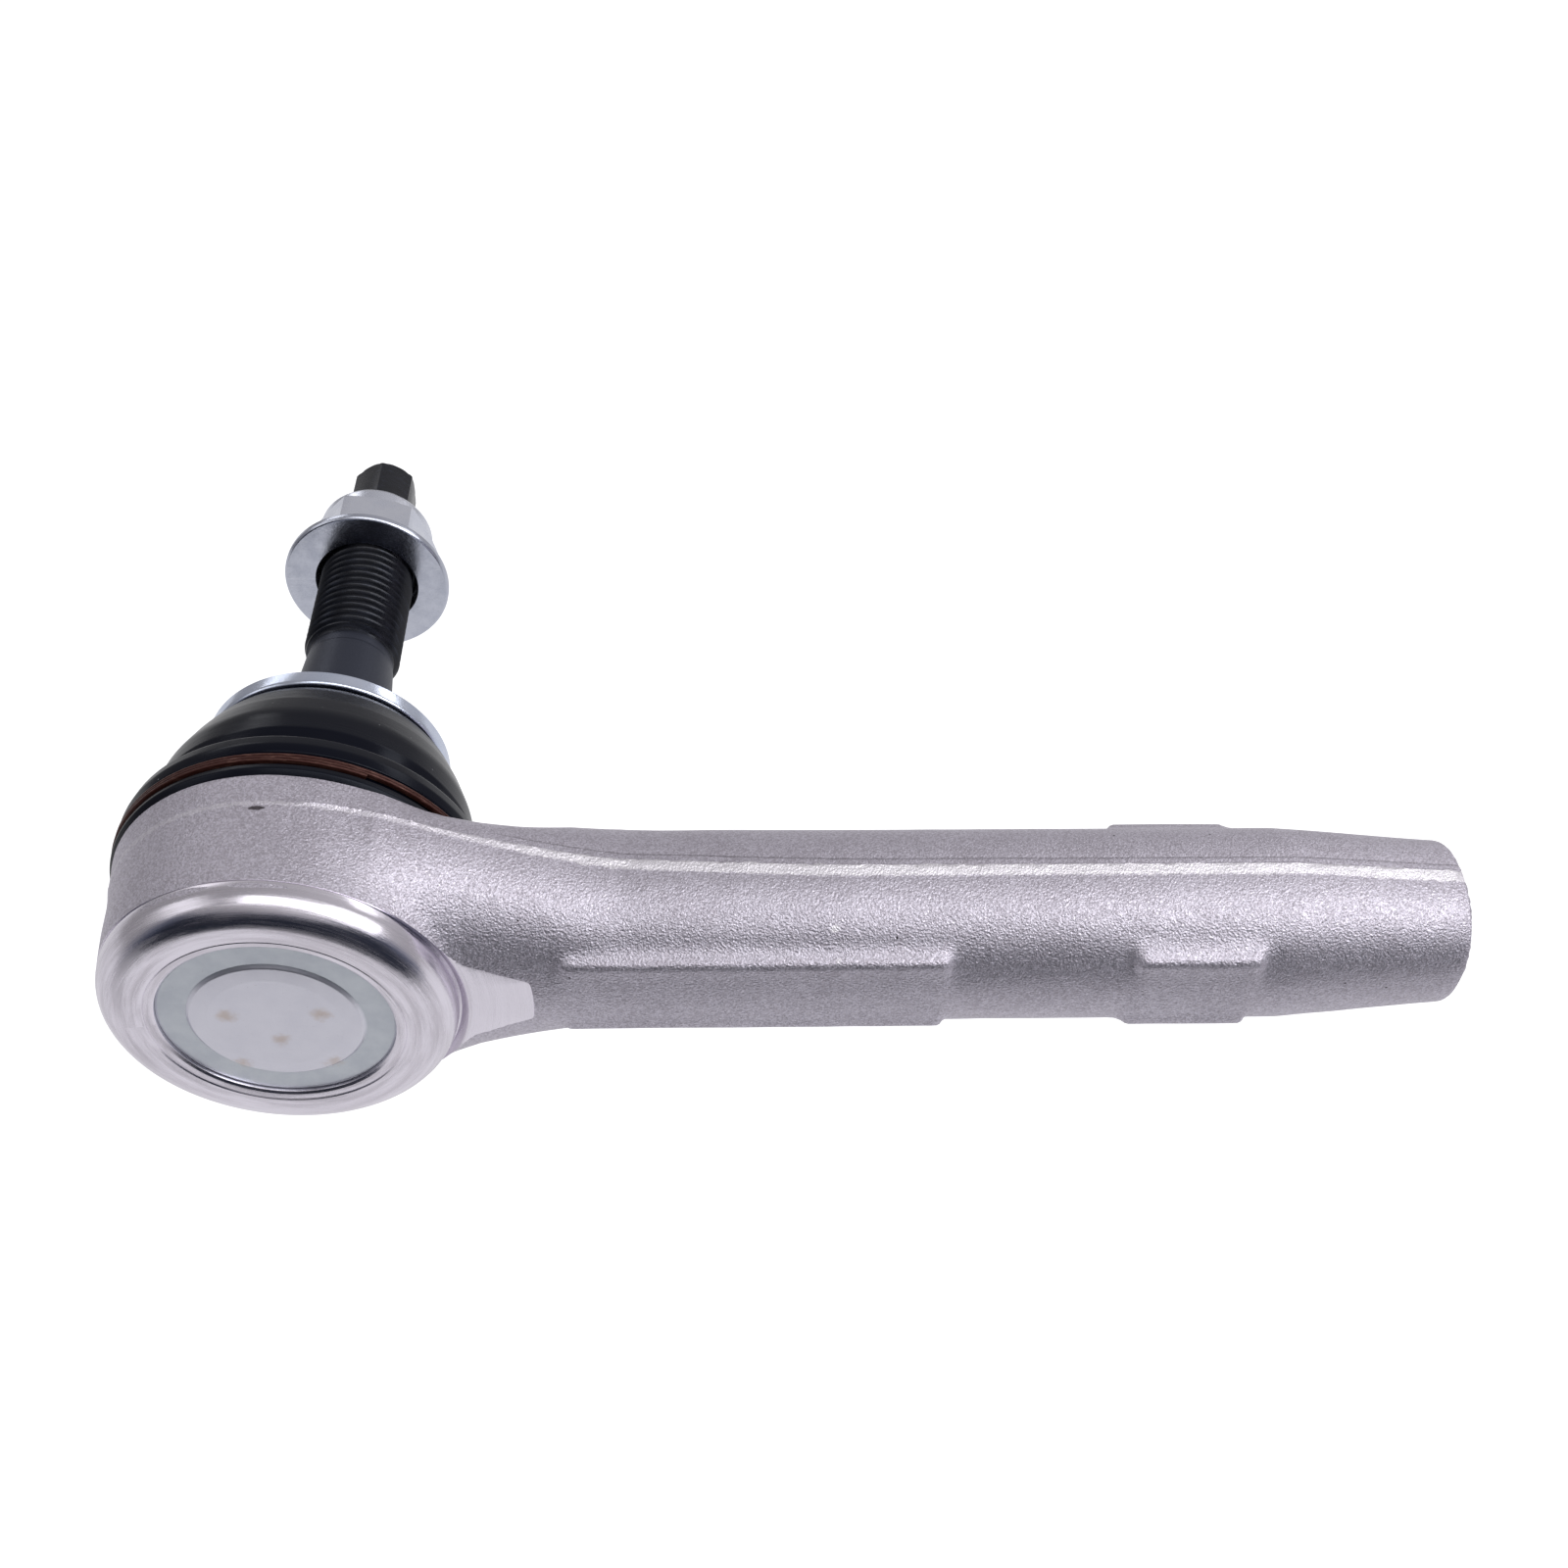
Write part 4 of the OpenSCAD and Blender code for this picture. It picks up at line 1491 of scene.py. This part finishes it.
@dataclass
class BallStud:
    """Ball, neck, taper, thread and hexagon tip in one turned piece."""

    ball_r: float = 13.5
    ball_flat: float = -11.0
    neck_r: float = 6.5
    seat_r: float = 8.0
    taper_z: float = 31.5
    taper_r: float = 7.85
    taper_top_z: float = 49.5
    relief_r: float = 6.13
    thread_z: float = 52.0
    thread_top_z: float = 84.0
    thread_r: float = 7.0
    thread_depth: float = 0.92
    pitch: float = 1.5
    top_z: float = 96.5
    tip_af: float = 9.0
    tip_turn: float = 30.0

    @property
    def root_r(self) -> float:
        """Radius at the root of the thread, mm."""
        return self.thread_r - self.thread_depth

    def build(self, thread: ThreadTube) -> bpy.types.Object:
        """Turns, threads and dresses the stud.

        Args:
            thread: the thread's node shape.

        Returns:
            The finished piece.
        """
        side = math.degrees(math.acos(self.neck_r / self.ball_r))
        flat = math.degrees(math.asin(self.ball_flat / self.ball_r))
        small = self.taper_r - (self.taper_top_z - self.taper_z) / 12
        below = [(0, self.ball_flat)] + arc((0, 0), self.ball_r, flat, side, 48) + rounded([
            (self.neck_r + 0.1, 13.4), (self.neck_r, 17, 2.0), (self.seat_r, 19.5, 0.5),
            (self.seat_r, self.taper_z - 0.4, 0.1), (self.taper_r, self.taper_z, 0.1),
            (small, self.taper_top_z, 0.12), (self.relief_r, self.taper_top_z + 0.45, 0.15),
            (self.relief_r, self.thread_z - 1.2, 0.3), (self.root_r, self.thread_z - 0.5)])
        tube = thread.cut("stud_thread", BLACK_STEEL, self.pitch, self.thread_r, self.root_r,
                          self.thread_z, self.thread_z - 0.5, self.thread_top_z,
                          (self.root_r, self.root_r), 1.0)
        corner = self.tip_af / math.sqrt(3)
        shoulder = lathe("shoulder", [(self.root_r, self.thread_top_z), (corner, self.thread_top_z)],
                         96, False)
        dome = rounded([(corner, self.thread_top_z), (corner, self.top_z - 1.1, 0.5),
                        (corner - 0.7, self.top_z - 0.35, 0.6), (3.0, self.top_z - 0.08, 1.0),
                        (0, self.top_z)], 6)
        tip = lathe("tip", dome, 96, False)
        self.flatten(tip, corner)
        mesh = joined("turned_stud", lathe("shaft", below, 96, False), tube, shoulder, tip)
        shade(mesh, 28)
        return dress(new_object("turned_stud", mesh), Body.STUD, "phosphated_steel", BLACK_STEEL,
                     stands_for=["ball_stud"])

    def flatten(self, tip: bpy.types.Mesh, corner: float) -> None:
        """Mills the six flats of the tip, fading out at its foot's rim.

        Args:
            tip: the round tip.
            corner: radius of the hexagon's corners, mm.
        """
        places = np.zeros(len(tip.vertices) * 3)
        tip.vertices.foreach_get("co", places)
        places = places.reshape(-1, 3)
        radius = np.hypot(places[:, 0], places[:, 1])
        limit = hexagon(self.tip_af, self.tip_turn)(np.arctan2(places[:, 1], places[:, 0])) * MM
        foot = places[:, 2] < (self.thread_top_z + 0.01) * MM
        share = np.where((radius > limit) & ~foot, limit / np.maximum(radius, 1e-9), 1)
        places[:, :2] *= share[:, None]
        tip.vertices.foreach_set("co", places.ravel())


# ------------------------------------------------------------------ lock nut


@dataclass
class LockNut:
    """Hexagon nut with a captive loose washer and a plastic locking ring in its crown."""

    low_z: float = 70.1
    across_flats: float = 18.0
    turn: float = 12.0
    washer_r: float = 12.5
    washer_hole_r: float = 7.62
    clearance: float = 0.1

    def washer(self) -> bpy.types.Object:
        """Turns and dresses the loose washer.

        Returns:
            The finished piece.
        """
        z, r = self.low_z, self.washer_r
        outline = rounded([
            (self.washer_hole_r, z + 0.22, 0.05), (self.washer_hole_r + 0.22, z, 0.1),
            (r - 0.3, z, 0.28), (r, z + 0.3, 0.28), (r, z + 1.05, 0.3), (10.8, z + 3.3, 0.35),
            (9.2, z + 3.3, 0.2), (9.2, z + 2.8, 0.05), (9.9, z + 2.8, 0.1), (9.9, z + 1.5, 0.2),
            (self.washer_hole_r, z + 1.5, 0.1)])
        mesh = lathe("loose_washer", outline)
        shade(mesh)
        return dress(new_object("loose_washer", mesh), Body.WASHER, "bright_zinc", WASHER_ZINC,
                     stands_for=["nut_washer"])

    def nut(self, thread: ThreadTube, stud: BallStud) -> bpy.types.Object:
        """Makes and dresses the nut, its thread in step with the stud's.

        Args:
            thread: the thread's node shape.
            stud: the stud that it runs on.

        Returns:
            The finished piece.
        """
        z, corner = self.low_z, self.across_flats / math.sqrt(3)
        low, high = z + 2.5, z + 11.1
        crest, root = stud.thread_r + self.clearance, stud.root_r + self.clearance
        skirt = [(crest, low), (7.9, z + 1.6), (9.6, z + 1.6), (9.75, z + 1.75), (9.75, z + 2.65),
                 (9.05, z + 2.7), (9.05, z + 3.45)]
        body = rounded([(9.3, z + 3.45), (corner + 0.4, z + 4.15, 0.1), (corner + 0.4, z + 9.15, 0.1),
                        (8.7, z + 10.4)])
        crown = rounded([(8.75, z + 10.45), (8.8, z + 12.4, 0.8), (8.1, z + 13.6, 0.4),
                         (7.75, z + 13.6, 0.1), (7.6, z + 13.0), (7.98, z + 13.0), (7.98, high),
                         (crest, high)])
        flats = hexagon(self.across_flats, self.turn)
        faced = self.milled(skirt, body, crown, flats)
        tube = thread.cut("nut_thread", BRIGHT_ZINC, stud.pitch, crest, root, stud.thread_z, low,
                          high, (crest, crest), 1.0)
        mesh = joined("lock_nut", faced, tube)
        shade(mesh, 24)
        return dress(new_object("lock_nut", mesh), Body.NUT, "bright_zinc", BRIGHT_ZINC,
                     stands_for=["nut"])

    @staticmethod
    def milled(skirt: list[Point], body: list[Point], crown: list[Point],
               flats: Callable[[np.ndarray], np.ndarray]) -> bpy.types.Mesh:
        """Turned blank of the nut with its six flats.

        Args:
            skirt: outline from the thread to the hexagon's foot, mm.
            body: outline of the hexagon's chamfers, mm.
            crown: outline from the hexagon's top back to the thread, mm.
            flats: the hexagon's radius at each angle.

        Returns:
            The open shell of the nut.
        """
        corner = max(p[0] for p in body)
        tall = [p[1] for p in body if p[0] > corner - 1e-6]
        straight = [(corner, min(tall) + (max(tall) - min(tall)) * i / 6) for i in range(1, 6)]
        first = [p for p in body if p[1] <= min(tall) + 1e-6]
        last = [p for p in body if p[1] >= max(tall) - 1e-6]

        def chamfer(a: list[Point], steps: int = 10) -> list[Point]:
            """Adds points along a chamfer, so that the flats' arcs come out round."""
            found = []
            for (r0, z0), (r1, z1) in zip(a, a[1:]):
                found += [(r0 + (r1 - r0) * k / steps, z0 + (z1 - z0) * k / steps)
                          for k in range(steps)]
            return found + [a[-1]]
        outline = skirt + chamfer(first) + straight + chamfer(last) + crown
        return lathe("nut_shell", outline, 96, False, flats)

    def insert(self) -> bpy.types.Object:
        """Turns and dresses the plastic locking ring.

        Returns:
            The finished piece.
        """
        low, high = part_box("nut_lock_insert")
        top, bottom = high.z / MM, low.z / MM
        outline = rounded([(7.06, bottom, 0.1), (7.93, bottom, 0.1), (7.93, top, 0.15),
                           (7.3, top, 0.2), (7.06, top - 0.4, 0.2)])
        mesh = lathe("nut_insert_ring", outline, 128)
        shade(mesh)
        return dress(new_object("nut_insert_ring", mesh), Body.NUT, "lock_plastic", LOCK_PLASTIC,
                     stands_for=["nut_lock_insert"])


# ------------------------------------------------------------- inner pieces


@dataclass
class InnerPieces:
    """Pieces inside the head and the boot, whose CAD shapes are already their real ones."""

    finishes: dict[str, tuple[str, Finish]] = field(default_factory=lambda: {
        "preload_spring": ("spring_steel", GREY_WIRE),
        "pressure_plate": ("bearing_plastic", SEAT_PLASTIC),
        "ball_seat": ("bearing_plastic", SEAT_PLASTIC),
        "neck_bush": ("spring_steel", GREY_WIRE)})

    def build(self) -> None:
        """Dresses each piece where it is."""
        for name, (slot, finish) in self.finishes.items():
            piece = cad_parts[name]
            piece.data.materials.clear()
            piece.data.materials.append(finish.material())
            LOG.info("%s: dressed where it is", name)


# -------------------------------------------------------------------- studio


@dataclass(frozen=True)
class Softbox:
    """One soft rectangular light, aimed at the part; place and size in m, power in W."""

    name: str
    place: tuple[float, float, float]
    size: Point
    power: float
    target: tuple[float, float, float] = (0.05, 0.0, 0.02)

    def hang(self) -> None:
        """Makes the light and turns it to its target."""
        data = bpy.data.lights.new(self.name, "AREA")
        data.shape, data.energy = "RECTANGLE", self.power
        data.size, data.size_y = self.size
        made = bpy.data.objects.new(self.name, data)
        bpy.context.scene.collection.objects.link(made)
        made.location = self.place
        made.rotation_mode = "QUATERNION"
        way = Vector(self.target) - Vector(self.place)
        made.rotation_quaternion = way.to_track_quat("-Z", "Y")


@dataclass
class Studio:
    """Camera, soft lights, pale floor and white tent."""

    eye: tuple[float, float, float] = (50.0, -163.15, -139.23)
    right: tuple[float, float, float] = (0.9992, -0.02589, -0.03057)
    down: tuple[float, float, float] = (-0.00457, 0.68444, -0.72905)
    lens: float = 38.4
    shift: Point = (0.0173, 0.0396)
    floor_gap: float = 350.0
    floor_half: float = 3.0
    floor_front: float = -0.55
    floor_glow: float = 0.5
    white: Colour = (0.98, 0.98, 0.99)
    lights: Sequence[Softbox] = (
        Softbox("left_softbox", (-0.62, -0.5, -0.15), (0.38, 0.5), 0.42),
        Softbox("right_softbox", (0.62, -0.56, -0.3), (0.5, 0.55), 2.5),
        Softbox("top_softbox", (0.15, -0.82, -0.32), (0.85, 0.42), 1.8),
        Softbox("rear_left_strip", (-0.42, -0.4, 0.6), (0.2, 0.45), 0.35),
        Softbox("rear_right_strip", (0.6, -0.42, 0.5), (0.2, 0.45), 0.5))

    def camera(self) -> None:
        """Places the camera below the cap's side of the head, looking up along the part."""
        data = bpy.data.cameras.new("camera")
        data.lens, data.sensor_width = self.lens, 36.0
        data.shift_x, data.shift_y = self.shift
        data.clip_start, data.clip_end = 0.01, 50.0
        made = bpy.data.objects.new("camera", data)
        bpy.context.scene.collection.objects.link(made)
        right = Vector(self.right).normalized()
        up = (-Vector(self.down)).normalized()
        back = right.cross(up).normalized()
        turn = Matrix((right, up, back)).transposed().to_4x4()
        made.matrix_world = Matrix.Translation(Vector(self.eye) * MM) @ turn
        bpy.context.scene.camera = made

    def floor(self) -> None:
        """Lays the pale floor that the part lies over on its side, clear of every pose."""
        half, front, level = self.floor_half, self.floor_front, self.floor_gap * MM
        mesh = bpy.data.meshes.new("floor")
        mesh.from_pydata([(-half, level, front), (half, level, front), (half, level, half),
                          (-half, level, half)], [], [(0, 1, 2, 3)])
        made = new_object("floor", mesh)
        material = bpy.data.materials.new("floor_paint")
        material.use_nodes = True
        sheet = NodeSheet(material.node_tree)
        seen = sheet.add("ShaderNodeLightPath").outputs["Is Camera Ray"]
        glow = sheet.maths("ADD", self.floor_glow, sheet.maths("MULTIPLY", seen, 0.5))
        shader = sheet.add("ShaderNodeBsdfPrincipled", {
            "Base Color": (0.35, 0.35, 0.355, 1.0), "Roughness": 0.9,
            "Emission Color": _rgba(self.white), "Emission Strength": glow})
        output = sheet.add("ShaderNodeOutputMaterial")
        sheet.tree.links.new(shader.outputs[0], output.inputs[0])
        mesh.materials.append(material)

    def sky(self) -> None:
        """White tent, dark at the level of its open front."""
        world = bpy.data.worlds.new("tent")
        world.use_nodes = True
        bpy.context.scene.world = world
        sheet = NodeSheet(world.node_tree)
        way = sheet.add("ShaderNodeTexCoord").outputs["Generated"]
        x, y, z = sheet.add("ShaderNodeSeparateXYZ", {0: way}).outputs[:]
        overhead = sheet.maths("ADD", sheet.spread(y, 0.3, -0.6, 0.35, 0.43),
                               sheet.spread(z, 0.2, 0.75, 0.0, 0.07))
        overhead = sheet.maths("MULTIPLY", overhead, sheet.spread(x, -0.7, 0.45, 0.66, 1.0))
        front = sheet.spread(z, -0.3, -0.75)
        level = sheet.spread(y, -0.52, -0.38)
        dark = sheet.maths("MULTIPLY", front, level)
        lit = sheet.maths("SUBTRACT", 1.0, sheet.maths("MULTIPLY", dark, 0.92))
        strength = sheet.maths("MULTIPLY", overhead, lit)
        seen = sheet.add("ShaderNodeLightPath").outputs["Is Camera Ray"]
        unseen = sheet.maths("SUBTRACT", 1.0, seen)
        power = sheet.maths("ADD", seen, sheet.maths("MULTIPLY", unseen, strength))
        hidden = sheet.maths("MULTIPLY", dark, unseen)
        air = sheet.tint(hidden, (1.0, 0.985, 1.0), (0.5, 0.62, 1.0))
        back = sheet.add("ShaderNodeBackground", {"Color": air, "Strength": power})
        output = sheet.add("ShaderNodeOutputWorld")
        sheet.tree.links.new(back.outputs[0], output.inputs[0])

    def build(self) -> None:
        """Sets up the whole studio."""
        bpy.context.scene.view_settings.view_transform = "Standard"
        self.camera()
        self.floor()
        for light in self.lights:
            light.hang()
        self.sky()
        LOG.info("studio: camera, %d soft lights, pale floor and tent", len(self.lights))


# ---------------------------------------------------------------------- build


def main() -> None:
    logging.basicConfig(level=logging.INFO, format="%(message)s")
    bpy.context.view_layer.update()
    Studio().build()
    thread, coil = ThreadTube(), WireCoil()
    stud, nut = BallStud(), LockNut()
    Housing().build(thread)
    ClosingCap().build()
    InnerPieces().build()
    stud.build(thread)
    DustBoot().build()
    ClampRing("foot_spring_ring", "base_clamp_ring", Body.HOUSING, "brown_spring_wire", BROWN_WIRE,
              2.35, 0.8, -62.0).build(coil)
    ClampRing("neck_spring_ring", "neck_clamp_ring", Body.NECK, "spring_steel", GREY_WIRE,
              1.6, 0.9, 140.0).build(coil)
    Shield().build()
    nut.washer()
    nut.nut(thread, stud)
    nut.insert()


if __name__ == "__main__":
    main()
